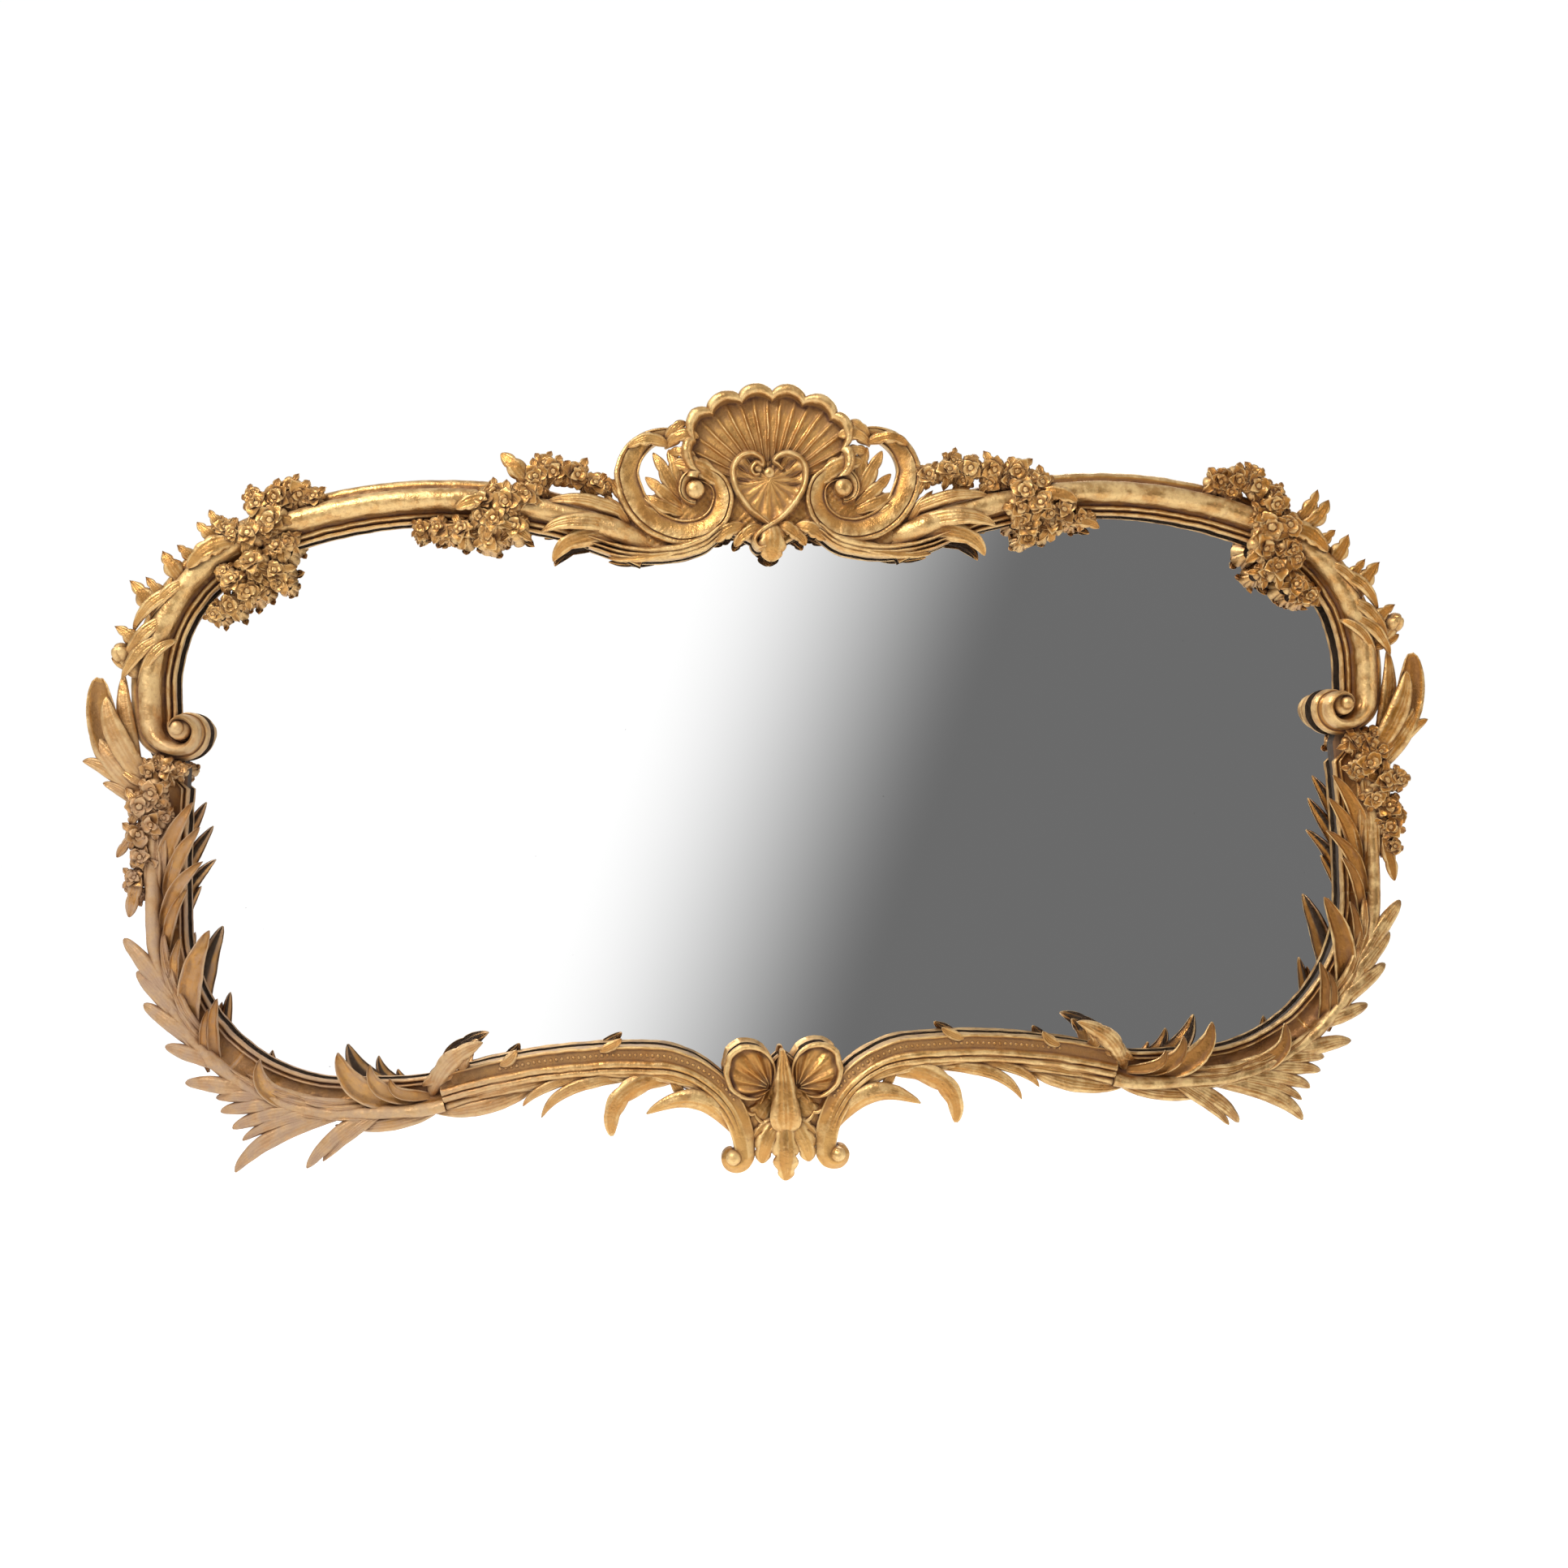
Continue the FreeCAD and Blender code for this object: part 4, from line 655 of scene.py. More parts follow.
for hand, tag in HANDS:
    scroll = Carving(hand)
    points, outs = band.run(BAND_START, BAND_TURN)
    rolls = [(110, 180 - BAND_TURN), (12, 90), (9, 90), (6, 90)]
    foot, lefts, reached = turned(band.spot(BAND_TURN), BAND_TURN + 90, rolls, 4)
    narrowing = np.interp(reached[1:], range(5), (BAND_HALF, 12, 9, 7, 5))
    settling = np.interp(reached[1:], range(5), (BAND_TALL, 31, 33, 33, 30))
    half = np.concatenate([np.full(len(points), BAND_HALF), narrowing])
    tall = np.concatenate([np.full(len(points), BAND_TALL), settling])
    line, sides = np.concatenate([points, foot[1:]]), np.concatenate([outs, lefts[1:]])
    fade = np.concatenate([np.zeros(len(points)), np.clip(reached[1:] * 1.6 - .4, 0, 1)])[:, None, None]
    sweep(scroll, line, sides, BAND * (1 - fade) + PLAIN_FOOT * fade, half, tall)
    knob(scroll, (62, -439), 22, 9, 0.9)
    steps = np.concatenate([[0], np.cumsum(np.linalg.norm(np.diff(line, axis=0), axis=1))])
    for place in np.arange(72, 352, 6.5):
        spot = [np.interp(place, steps, line[:, axis] - sides[:, axis] * half * 0.53) for axis in (0, 1)]
        knob(scroll, spot, 19.2, 2.1, 1.0)
    leaves(scroll, BAND_LEAVES, lift=(10, 29, 14), vein=.8)
    leaves(scroll, BAND_RIBS, lift=(10, 30, 12), crown=.3, vein=1.0)
    leaf(scroll, (112, -342), (212, -338), (204, -407), 26, (4, 35, 20), crown=.3, lobes=4, cut=.2, roll=.2,
         vein=.9, sharp=.45)
    leaf(scroll, (56, -416), (94, -338), (163, -384), 24, (4, 34, 16), crown=.4, vein=.9)
    leaf(scroll, (134, -346), (120, -356), (124, -366), 14, (16, 18, 12), lobes=2)
    leaf(scroll, (216, -308), (200, -304), (190, -294), 12, (20, 24, 20))
    leaf(scroll, (332, -320), (318, -316), (312, -303), 13, (20, 24, 20))
    leaf(scroll, (290, -346), (350, -376), (412, -373), 20, (6, 24, 10), crown=.4)
    leaf(scroll, (414, -358), (400, -306), (350, -291), 24, (4, 46, 38), crown=.5, lobes=3, cut=.25,
         thick=14)
    leaf(scroll, (366, -330), (384, -316), (362, -298), 16, (4, 42, 30), crown=.4, lobes=2, thick=12)
    leaf(scroll, (372, -334), (402, -322), (422, -342), 16, (6, 36, 14), lobes=2)
    keep("beaded_scroll_carving_" + tag, scroll, "beaded_scroll_" + tag)

# %% [markdown]
# ## The crest
# The crest is a scallop shell over a heart, between two C-scrolls. The shell is a
# set of rings too: each ring is a cut from its middle to its rim, and the rings turn
# like the ribs of a fan. Narrow ribs rise between wide flutes, and the rim rolls
# forwards in ruffled lobes. The ground between the scrolls is stippled with a punch, as
# a gilder's ground often is, to make the plain parts glitter.

# %% Shell of the crest
def fan(carving, centre, reach_at, turns, rib_pitch, scallops, rise, lip, crisp=8):
    """A shell of cuts that turn about a centre; scallops are a pitch, the first one's turn and a depth."""
    pitch, first, ruffle = scallops
    rings = []
    for turn in np.linspace(turns[0], turns[1], round(turns[1] - turns[0]) * 2):
        rib = abs(math.cos(math.pi * turn / rib_pitch)) ** crisp
        lobe = abs(math.cos(math.pi * (turn - first) / pitch)) ** 0.6
        reach = reach_at(turn) - ruffle * (1 - lobe)
        share = np.linspace(0.1, 0.93, 20)
        swell = np.sin(math.pi * share * 0.98) ** 0.4
        height = rise * (0.5 + 0.5 * share - 0.45 * share ** 2) + (rib * 4.0 - 1.2) * swell
        curl = np.radians(np.linspace(200, -60, 9))
        rim = rise * 0.72 + lip * 0.4 + ruffle * 0.5 * lobe
        edge = np.stack([reach - lip + np.cos(curl) * lip, rim + np.sin(curl) * lip], 1)
        back = np.array([(reach - lip, 2.0), (0.8 * reach, 0.0), (0.1 * reach, 0.0)])
        cut = np.concatenate([np.stack([share * (reach - lip), height], 1), edge, back])
        angle = math.radians(turn)
        across = math.sin(angle) * cut[:, 0] + centre[0]
        rings.append(np.stack([across, FACE - cut[:, 1], math.cos(angle) * cut[:, 0] + centre[1]], 1))
    carving.skin(rings)


def plaque(carving, outline, centre, rows, marks=None):
    """A carved boss: an outline drawn in towards a centre, each row a share and a height."""
    outline, centre = np.array(outline, float), np.array(centre, float)
    rings = []
    for share, height in rows:
        spots = centre + (outline - centre) * share
        depth = np.full(len(spots), float(height))
        if marks is not None:
            depth = depth + marks(spots - centre, share)
        rings.append(np.stack([spots[:, 0], FACE - depth, spots[:, 1]], 1))
    carving.skin(rings)


def round_outline(spots, step=2.5):
    """A smooth closed outline through spots."""
    points, _ = free_line(spots[-2:] + spots + spots[:2], step)
    first = np.argmin(np.linalg.norm(points - np.array(spots[0]), axis=1))
    last = len(points) - 1 - np.argmin(np.linalg.norm(points[::-1] - np.array(spots[0]), axis=1))
    return points[first:last]


def both_sides(right):
    """A whole outline from its right half, listed from the top to the bottom."""
    return list(right) + [(-x, z) for x, z in reversed(right) if x > 0.5]


def stipple(away, share):
    """Rows of small punch marks, fading out at the edge."""
    return 0.8 * np.sin(away[:, 0] / 1.6) * np.sin(away[:, 1] / 1.6 + 1) * (share < .99)


crest = Carving()
SHELL_TURNS = (0, 20, 44, 56, 70, 82)
SHELL_REACH = (123, 125, 130, 123, 109, 100)
fan(crest, (0, 350), lambda turn: np.interp(abs(turn), SHELL_TURNS, SHELL_REACH), (-82, 82), 9,
    (20, 13, 9), 25, 6.5)
GROUND = both_sides([(0, 372), (60, 378), (104, 366), (128, 350), (150, 338), (160, 316),
                     (154, 288), (120, 277), (84, 288), (60, 300), (36, 294), (12, 282), (0, 276)])
rows = [(1, 0), (1, 6), (.98, 9)] + [(share, 10) for share in np.linspace(.95, .05, 46)]
plaque(crest, round_outline(GROUND, 2.0), (0, 330), rows, stipple)
for hand in (1, -1):
    leaf(crest, (hand * 52, 352), (hand * 84, 384), (hand * 112, 380), 26, (14, 24, 16), lobes=4)
    leaf(crest, (hand * 30, 306), (hand * 50, 306), (hand * 66, 288), 20, (14, 22, 14), lobes=3)
    leaf(crest, (hand * 22, 300), (hand * 36, 296), (hand * 42, 282), 14, (14, 20, 14), lobes=2)
keep("crest_shell_carving", crest, "crest_shell")

# %% Heart of the crest
heart = Carving()
HEART = both_sides([(0, 381), (9, 388), (22, 391), (35, 386), (42.5, 374), (42.5, 360), (37, 344),
                    (26, 328), (12, 315), (0, 307)])
HEART_DISH = [(share, 13 + 8 * (1 - share) + 8 * share ** 6) for share in np.linspace(.93, .05, 18)]


def sunburst(away, share):
    """Flutes that run out from the middle of the heart."""
    flutes = np.cos(np.arctan2(away[:, 1], away[:, 0]) * 15)
    return 1.1 * flutes * (share < .95) * min(1, share * 2.5)


plaque(heart, round_outline(HEART, 2.0), (0, 360), [(1, 0), (1, 19), (.97, 21)] + HEART_DISH, sunburst)
RIM_LEFT = [(-12, 366), (-18, 366), (-21, 373), (-15, 380), (-8, 377), (-9, 385), (-20, 391), (-34, 387),
            (-42, 375), (-42, 360), (-36, 343), (-25, 328), (-12, 316), (-2, 308)]
RIM_RIGHT = [(16, 372), (10, 378), (6, 381), (12, 388), (23, 391), (36, 386), (43, 374), (42.5, 360),
             (37, 344), (27, 329), (13, 315), (-2, 306), (-14, 298), (-19, 289), (-14, 280), (-6, 281)]
for path in (RIM_LEFT, RIM_RIGHT):
    line, lefts = free_line(path, 2.0)
    size = np.interp(np.arange(len(line)), [0, 14, len(line) - 20, len(line)], (2.4, 4.4, 4.4, 2.4))
    sweep(heart, line, lefts, ROLL, size, 42)
knob(heart, (-14, 373), 18, 6, 1.0)
knob(heart, (0, 368), 18, 7, 0.7)
leaf(heart, (0, 312), (2, 288), (0, 264), 36, (16, 26, 16), crown=.3, lobes=3, cut=.3)
leaf(heart, (8, 306), (24, 306), (34, 290), 18, (16, 22, 16), lobes=2)
leaf(heart, (-8, 304), (-26, 304), (-34, 290), 16, (16, 22, 16), lobes=2)
keep("crest_heart_carving", heart, "crest_cabochon")

# %% C-scrolls of the crest
INNER_LEAVES = [((98, 322), (120, 326), (150, 344), 18), ((100, 328), (122, 342), (146, 366), 18),
                ((104, 334), (116, 360), (136, 394), 20), ((108, 340), (104, 372), (118, 398), 20),
                ((120, 312), (140, 320), (156, 336), 14)]

for hand, tag in HANDS:
    scroll = Carving(hand)
    turns = [(46, -90), (70, -75), (40, -105), (26, -90), (18, -90), (12, -90)]
    path, lefts, reached = turned((112, 416), 0, turns, 4)
    path = path + lefts * np.interp(reached, (0, 0.5, 1, 1.6, 2.2), (0, 5, 10, 7, 1))[:, None]
    half = np.interp(reached, (0, 0.6, 1.2, 2, 3, 4, 5, 6), (6, 12, 16, 15, 12, 9, 7, 4.5))
    sweep(scroll, path, lefts, SCROLL, half, np.interp(reached, range(7), (24, 30, 33, 35, 36, 36, 36)))
    knob(scroll, (87.7, 349), 22, 11, 0.7)
    leaves(scroll, INNER_LEAVES, lift=(6, 20, 12), vein=1.2, lobes=3)
    for lower, size in ((0, 5), (6, 4.5), (11, 4)):
        line, sides = free_line([(58, 307 - lower), (80, 291 - lower * .9), (113, 281 - lower * .8),
                                 (150, 279 - lower * .8), (186, 286 - lower), (214, 296 - lower)])
        taper = np.interp(np.arange(len(line)), [0, 12, len(line)], (2, size, 1.5))
        sweep(scroll, line, sides, ROLL, taper, 40 - lower)
    leaf(scroll, (96, 284), (150, 268), (192, 271), 15, (18, 22, 10), lobes=3)
    leaf(scroll, (164, 306), (180, 330), (196, 346), 14, (4, 26, 14), lobes=3, sharp=1.0)
    leaf(scroll, (166, 326), (178, 350), (190, 366), 13, (4, 24, 12), lobes=3, sharp=1.0)
    leaf(scroll, (116, 402), (144, 417), (166, 399), 16, (12, 32, 20), lobes=3)
    leaf(scroll, (122, 400), (104, 420), (82, 410), 18, (10, 34, 20), lobes=3, cut=.4)
    leaf(scroll, (120, 392), (102, 398), (86, 386), 15, (10, 30, 16), lobes=3, cut=.4)
    leaf(scroll, (122, 406), (112, 424), (96, 428), 14, (10, 28, 20), lobes=2, cut=.4)
    keep("crest_scroll_carving_" + tag, scroll, "crest_scroll_" + tag)

# %% [markdown]
# ## The pendant
# Under the plate a smaller shell hangs between the two feet. Each half is an ear: a
# fan of flutes inside a thick rolled rim. A tongue of leaf comes down between them
# and ends in a drop.

# %% Pendant shell and drop
EAR_TURNS = (-30, -12, 6, 20, 34, 50, 68, 86, 106, 124)
EAR_REACH = (10, 26, 46, 58, 65, 67, 61, 52, 38, 20)
pendant = Carving()
fan(pendant, (0, -316), lambda turn: 92 - 12 * (abs(turn - 180) / 50) ** 2, (130, 230), 17,
    (17, 180, 5), 15, 2.5)
for hand in (1, -1):
    turns = sorted((hand * EAR_TURNS[0], hand * EAR_TURNS[-1]))
    fan(pendant, (hand * 15, -360), lambda turn: np.interp(hand * turn, EAR_TURNS, EAR_REACH), turns, 24,
        (40, 0, 1.5), 24, 3.8, 2)
leaf(pendant, (-1, -314), (1, -356), (1, -411), 40, (16, 30, 20), crown=.25, vein=2.4, thick=16,
     blunt=True, lobes=2, cut=.2)
for hand in (1, -1):
    leaf(pendant, (hand * 12, -372), (hand * 30, -384), (hand * 40, -412), 30, (4, 12, 8), lobes=3)
keep("pendant_shell_carving", pendant, "pendant_shell")

drop = Carving()
leaf(drop, (0, -396), (0, -434), (0, -469), 34, (16, 26, 16), lobes=4, cut=.4)
for hand in (1, -1):
    leaf(drop, (hand * 4, -398), (hand * 26, -418), (hand * 28, -448), 28, (14, 22, 14), lobes=3)
    leaf(drop, (hand * 6, -398), (hand * 28, -404), (hand * 38, -424), 18, (12, 18, 12), lobes=2)
keep("pendant_drop_carving", drop, "pendant_drop")
print("carved pieces:", len(carved))

# %% [markdown]
# ## Small iron nails
# The backboards are held by cut nails whose heads show at the back. They are too
# small for the CAD model, so they are added here: low domes with a slightly square
# outline, each a little turned. The outer boards are curved, so a nail moves in from
# the end of its board until there is wood under it.

# %% Nails of the backboards
NAIL_INSET = 26
NAIL_MARGIN = 16
NAIL_DOME = ((2.6, -.5), (2.8, .2), (2.3, .7), (1.2, 1.0), (.3, 1.05))


def has_wood(board, x, z):
    """Whether a board has wood at this spot of its back."""
    ready = bpy.context.evaluated_depsgraph_get()
    return board.ray_cast(Vector((x, 50, z)) / 1000, Vector((0, -1, 0)), depsgraph=ready)[0]


nails = Carving()
chance = random.Random(5)
around = np.linspace(0, 2 * math.pi, 16, endpoint=False)
for index in range(1, 6):
    name = "backboard_%d" % index
    low, high = (corner_point * 1000 for corner_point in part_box(name))
    for edge, inward in ((high.z, -1), (low.z, 1)):
        for part in (.2, .8):
            x = low.x + (high.x - low.x) * part
            z = edge + inward * NAIL_INSET
            while not has_wood(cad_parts[name], x, z - inward * NAIL_MARGIN):
                z += inward * 8
            turn = chance.uniform(0, 1.5)
            rings = []
            for reach, height in NAIL_DOME:
                far = reach * (1 + .1 * np.cos(4 * (around + turn)))
                ring = [x + np.cos(around) * far, np.full(16, height), z + np.sin(around) * far]
                rings.append(np.stack(ring, 1))
            nails.skin(rings)
nail_heads = nails.piece("backboard_nails", ())

# %% [markdown]
# ## Shader helpers
# Materials are built from nodes. `Tree` keeps that short: it adds a node, sets its
# plain values and links the sockets it is given.

# %% A short way to write nodes
class Tree:
    """Adds nodes to a node tree; an input may be a plain value or another node's socket."""

    def __init__(self, tree):
        self.tree = tree

    def add(self, kind, inputs=(), **settings):
        made = self.tree.nodes.new("ShaderNode" + kind)
        for name, value in settings.items():
            setattr(made, name, value)
        for name, value in dict(inputs).items():
            self.join(made.inputs[name], value)
        return made

    def join(self, socket, value):
        if isinstance(value, bpy.types.NodeSocket):
            self.tree.links.new(value, socket)
        else:
            socket.default_value = value

    def math(self, operation, one, two=0.0, clamp=False):
        return self.add("Math", {0: one, 1: two}, operation=operation, use_clamp=clamp).outputs[0]

    def mix(self, share, one, two, blend="MIX"):
        return self.add("Mix", {0: share, 6: one, 7: two}, data_type="RGBA", blend_type=blend).outputs[2]

    def ramp(self, value, low, high, to_low=0.0, to_high=1.0):
        return self.add("MapRange", {"Value": value, "From Min": low, "From Max": high, "To Min": to_low,
                                     "To Max": to_high}, interpolation_type="SMOOTHSTEP").outputs[0]

    def noise(self, place, scale, detail=4.0, roughness=0.55):
        values = {"Vector": place, "Scale": scale, "Detail": detail, "Roughness": roughness}
        return self.add("TexNoise", values).outputs["Fac"]


def new_group(name, inputs, outputs):
    """A shader node group with named sockets: its Tree, its inputs and its outputs."""
    group = bpy.data.node_groups.new(name, "ShaderNodeTree")
    for label, value in inputs.items():
        kind = "NodeSocketColor" if isinstance(value, tuple) else "NodeSocketFloat"
        group.interface.new_socket(label, in_out="INPUT", socket_type=kind).default_value = value
    for label, kind in outputs.items():
        group.interface.new_socket(label, in_out="OUTPUT", socket_type="NodeSocket" + kind)
    source, sink = group.nodes.new("NodeGroupInput"), group.nodes.new("NodeGroupOutput")
    return Tree(group), source.outputs, sink.inputs


def use_group(tree, name, **inputs):
    made = tree.tree.nodes.new("ShaderNodeGroup")
    made.node_tree = bpy.data.node_groups[name]
    for label, value in inputs.items():
        tree.join(made.inputs[label.replace("_", " ")], value)
    return made.outputs


def new_material(name):
    material = bpy.data.materials.new(name)
    material.use_nodes = True
    shader = material.node_tree.nodes["Principled BSDF"]
    return material, Tree(material.node_tree), shader


# %% [markdown]
# ## Effects that several finishes share
# `hollows` finds places where two surfaces come close, with short feeler rays. The
# gilding darkens them with dirt and painted shade, the woods with painted shade, and the
# metals tarnish there. `patches` is slow cloudy variation, for wear and tarnish. `grain`
# draws the year rings of a board that runs along one axis. `fine_marks` is the small
# unevenness of gesso, brushed metal and planed wood.

# %% Shared node groups
tree, given, result = new_group("hollows", {"Reach": 0.012, "Strength": 1.0}, {"Mask": "Float"})
feel = tree.add("AmbientOcclusion", {"Distance": given["Reach"]}, samples=6)
closed = tree.math("SUBTRACT", 1.0, feel.outputs["AO"])
tree.join(result["Mask"], tree.math("MULTIPLY", closed, given["Strength"], True))

tree, given, result = new_group("patches", {"Scale": 12.0, "Low": 0.4, "High": 0.65}, {"Mask": "Float"})
place = tree.add("TexCoord").outputs["Object"]
cloud = tree.noise(place, given["Scale"], 5.0, 0.6)
tree.join(result["Mask"], tree.ramp(cloud, given["Low"], given["High"]))

GRAIN = {"Scale": 150.0, "Stretch": 0.06, "Early": (0.6, 0.4, 0.2, 1), "Late": (0.4, 0.2, 0.1, 1)}
tree, given, result = new_group("grain", GRAIN, {"Color": "Color", "Height": "Float"})
own = tree.add("ObjectInfo").outputs["Random"]
shift = tree.add("CombineXYZ", {"X": tree.math("MULTIPLY", own, 7.0), "Y": own}).outputs[0]
place = tree.add("TexCoord").outputs["Object"]
place = tree.add("VectorMath", {0: place, 1: shift}, operation="ADD").outputs[0]
stretch = tree.add("CombineXYZ", {"X": 1.0, "Y": 1.0, "Z": given["Stretch"]}).outputs[0]
drawn = tree.add("VectorMath", {0: place, 1: stretch}, operation="MULTIPLY").outputs[0]
warp = tree.noise(drawn, 9.0, 3.0)
sway = tree.add("CombineXYZ", {"X": tree.math("MULTIPLY", warp, 0.07)}).outputs[0]
bent = tree.add("VectorMath", {0: drawn, 1: sway}, operation="ADD").outputs[0]
rings = tree.ramp(tree.noise(bent, given["Scale"], 4.0), 0.38, 0.66)
fibre = tree.noise(drawn, 420.0, 2.0)
line = tree.math("MULTIPLY", rings, tree.math("ADD", fibre, 0.4))
plain = tree.mix(line, given["Early"], given["Late"])
tree.join(result["Color"], tree.mix(tree.math("MULTIPLY", own, 0.45), plain, given["Late"]))
tree.join(result["Height"], tree.math("ADD", line, tree.math("MULTIPLY", fibre, 0.5)))

tree, given, result = new_group("fine_marks", {"Scale": 300.0}, {"Height": "Float"})
place = tree.add("TexCoord").outputs["Object"]
coarse = tree.noise(place, given["Scale"], 3.0)
pits = tree.noise(place, tree.math("MULTIPLY", given["Scale"], 3.1), 2.0)
tree.join(result["Height"], tree.math("ADD", coarse, tree.math("MULTIPLY", pits, 0.4)))
print("node groups:", [group.name for group in bpy.data.node_groups])

# %% [markdown]
# ## Aged water gilding
# Gold leaf lies on red-brown bole over white gesso. The high edges are painted pale,
# partly as wear from two centuries of dusting and partly as a painted highlight. The
# hollows are darkened with dirt and painted shade, and the leaf itself shifts between
# lemon and orange. The right hand is painted a richer, darker gold, partly its own tone
# and partly painted shade, the lower right darker still as painted shade, and the lower
# left is dull and dusty; slow masks across the frame add that. The backs were never
# gilded: they carry a dark wash, which also paints the shade behind the carving that
# the plate reflects.

# %% The gilding
gilding, tree, shader = new_material("aged_gilding")
relief = tree.add("Attribute", attribute_name="relief").outputs["Fac"]
# deep finds tight hollows with occlusion rays; below they darken as dirt and painted shade
deep = use_group(tree, "hollows", Reach=0.006, Strength=1.4)["Mask"]
# cove finds the big hollows with long occlusion rays, for painted shade below
cove = use_group(tree, "hollows", Reach=0.03, Strength=1.2)["Mask"]
cloud = use_group(tree, "patches", Scale=14.0, Low=0.35, High=0.7)["Mask"]
blotch = use_group(tree, "patches", Scale=60.0, Low=0.36, High=0.64)["Mask"]
speck = use_group(tree, "patches", Scale=210.0, Low=0.5, High=0.68)["Mask"]
gold = tree.mix(cloud, (0.40, 0.185, 0.046, 1), (0.50, 0.280, 0.090, 1))
gold = tree.mix(tree.math("MULTIPLY", blotch, 0.3), gold, (0.58, 0.36, 0.12, 1))
place = tree.add("SeparateXYZ", {0: tree.add("TexCoord").outputs["Object"]}).outputs
# partly own tone, partly painted shade: the right hand turns a richer, darker gold
right_tone_and_shade = tree.ramp(tree.math("ADD", place["X"], tree.math("MULTIPLY", cloud, 0.15)), 0.2, 0.75)
gold = tree.mix(tree.math("MULTIPLY", right_tone_and_shade, 0.82), gold, (0.33, 0.137, 0.020, 1))
# painted shade: the lower right darkens further
low_right_shade = tree.math("MULTIPLY", tree.ramp(place["X"], 0.1, 0.6), tree.ramp(place["Z"], 0.0, -0.25))
gold = tree.mix(tree.math("MULTIPLY", low_right_shade, 0.65), gold, (0.17, 0.078, 0.022, 1))
# the high edges turn pale: partly wear, partly a painted highlight
wear_and_highlight = tree.math("ADD", tree.math("MULTIPLY", blotch, 0.5), 0.2)
edge = tree.math("MULTIPLY", tree.ramp(relief, 0.62, 1.0), wear_and_highlight)
gold = tree.mix(edge, gold, (0.78, 0.58, 0.28, 1))
bole = tree.math("MULTIPLY", tree.ramp(relief, 0.5, 0.75), tree.math("MULTIPLY", speck, 0.28))
gold = tree.mix(bole, gold, (0.22, 0.075, 0.028, 1))
low_left = tree.math("MULTIPLY", tree.ramp(place["X"], -0.1, -0.6), tree.ramp(place["Z"], 0.25, -0.15))
normal = tree.add("SeparateXYZ", {0: tree.add("NewGeometry").outputs["Normal"]}).outputs
settled = tree.math("MULTIPLY", tree.ramp(normal["Z"], 0.3, 0.9), 0.3)
dust = tree.math("ADD", tree.math("MULTIPLY", blotch, 0.4), tree.ramp(relief, 0.45, 0.7, 0.05, 0.5))
dust = tree.math("MULTIPLY", low_left, dust, True)
dust = tree.math("MAXIMUM", dust, tree.math("MULTIPLY", settled, blotch))
gold = tree.mix(dust, gold, (0.29, 0.188, 0.128, 1))
# painted shade: the big hollows turn a deeper orange
gold = tree.mix(tree.math("MULTIPLY", cove, 0.45), gold, (0.36, 0.135, 0.022, 1))
# dirt and painted shade: tight hollows and low places turn dark brown
valley = tree.ramp(relief, 0.42, 0.1)
dirt_and_shade = tree.math("ADD", deep, tree.math("MULTIPLY", valley, 0.45), True)
dirt_and_shade = tree.math("MULTIPLY", dirt_and_shade, tree.math("ADD", tree.math("MULTIPLY", blotch, 0.35), 0.68), True)
skin_colour = tree.mix(dirt_and_shade, gold, (0.085, 0.029, 0.011, 1))
# a dark wash on the backs, which also paints the shade behind the carving that the plate reflects
back = tree.ramp(normal["Y"], 0.75, 0.95)
tree.join(shader.inputs["Base Color"], tree.mix(back, skin_colour, (0.05, 0.028, 0.014, 1)))
bare = tree.math("MAXIMUM", tree.math("MAXIMUM", dirt_and_shade, dust), tree.math("MAXIMUM", bole, back))
tree.join(shader.inputs["Metallic"], tree.math("SUBTRACT", 0.85, tree.math("MULTIPLY", bare, 0.82), True))
rough = tree.math("ADD", 0.33, tree.math("MULTIPLY", blotch, 0.22))
tree.join(shader.inputs["Roughness"], tree.math("ADD", rough, tree.math("MULTIPLY", bare, 0.3), True))
fine = use_group(tree, "fine_marks", Scale=260.0)["Height"]
coarse = use_group(tree, "fine_marks", Scale=75.0)["Height"]
bump = tree.add("Bump", {"Height": coarse, "Strength": 0.45, "Distance": 0.003})
bump = tree.add("Bump", {"Height": fine, "Strength": 0.3, "Distance": 0.0012, "Normal": bump.outputs[0]})
tree.join(shader.inputs["Normal"], bump.outputs[0])
for piece in carved.values():
    piece.data.materials.append(gilding)
print("gilded", len(carved), "pieces")

# %% [markdown]
# ## Pine, oak, glass and metal
# The boards are old softwood gone brown, with painted shade where they meet, and their
# edges have a dark wash that hides raw wood beside the glass and also paints the shadow
# in the rebate. The pegs are darker oak.
# The plate is a mirror with the faintest foxing. Brass and iron are tarnished in
# patches, more in their hollows.

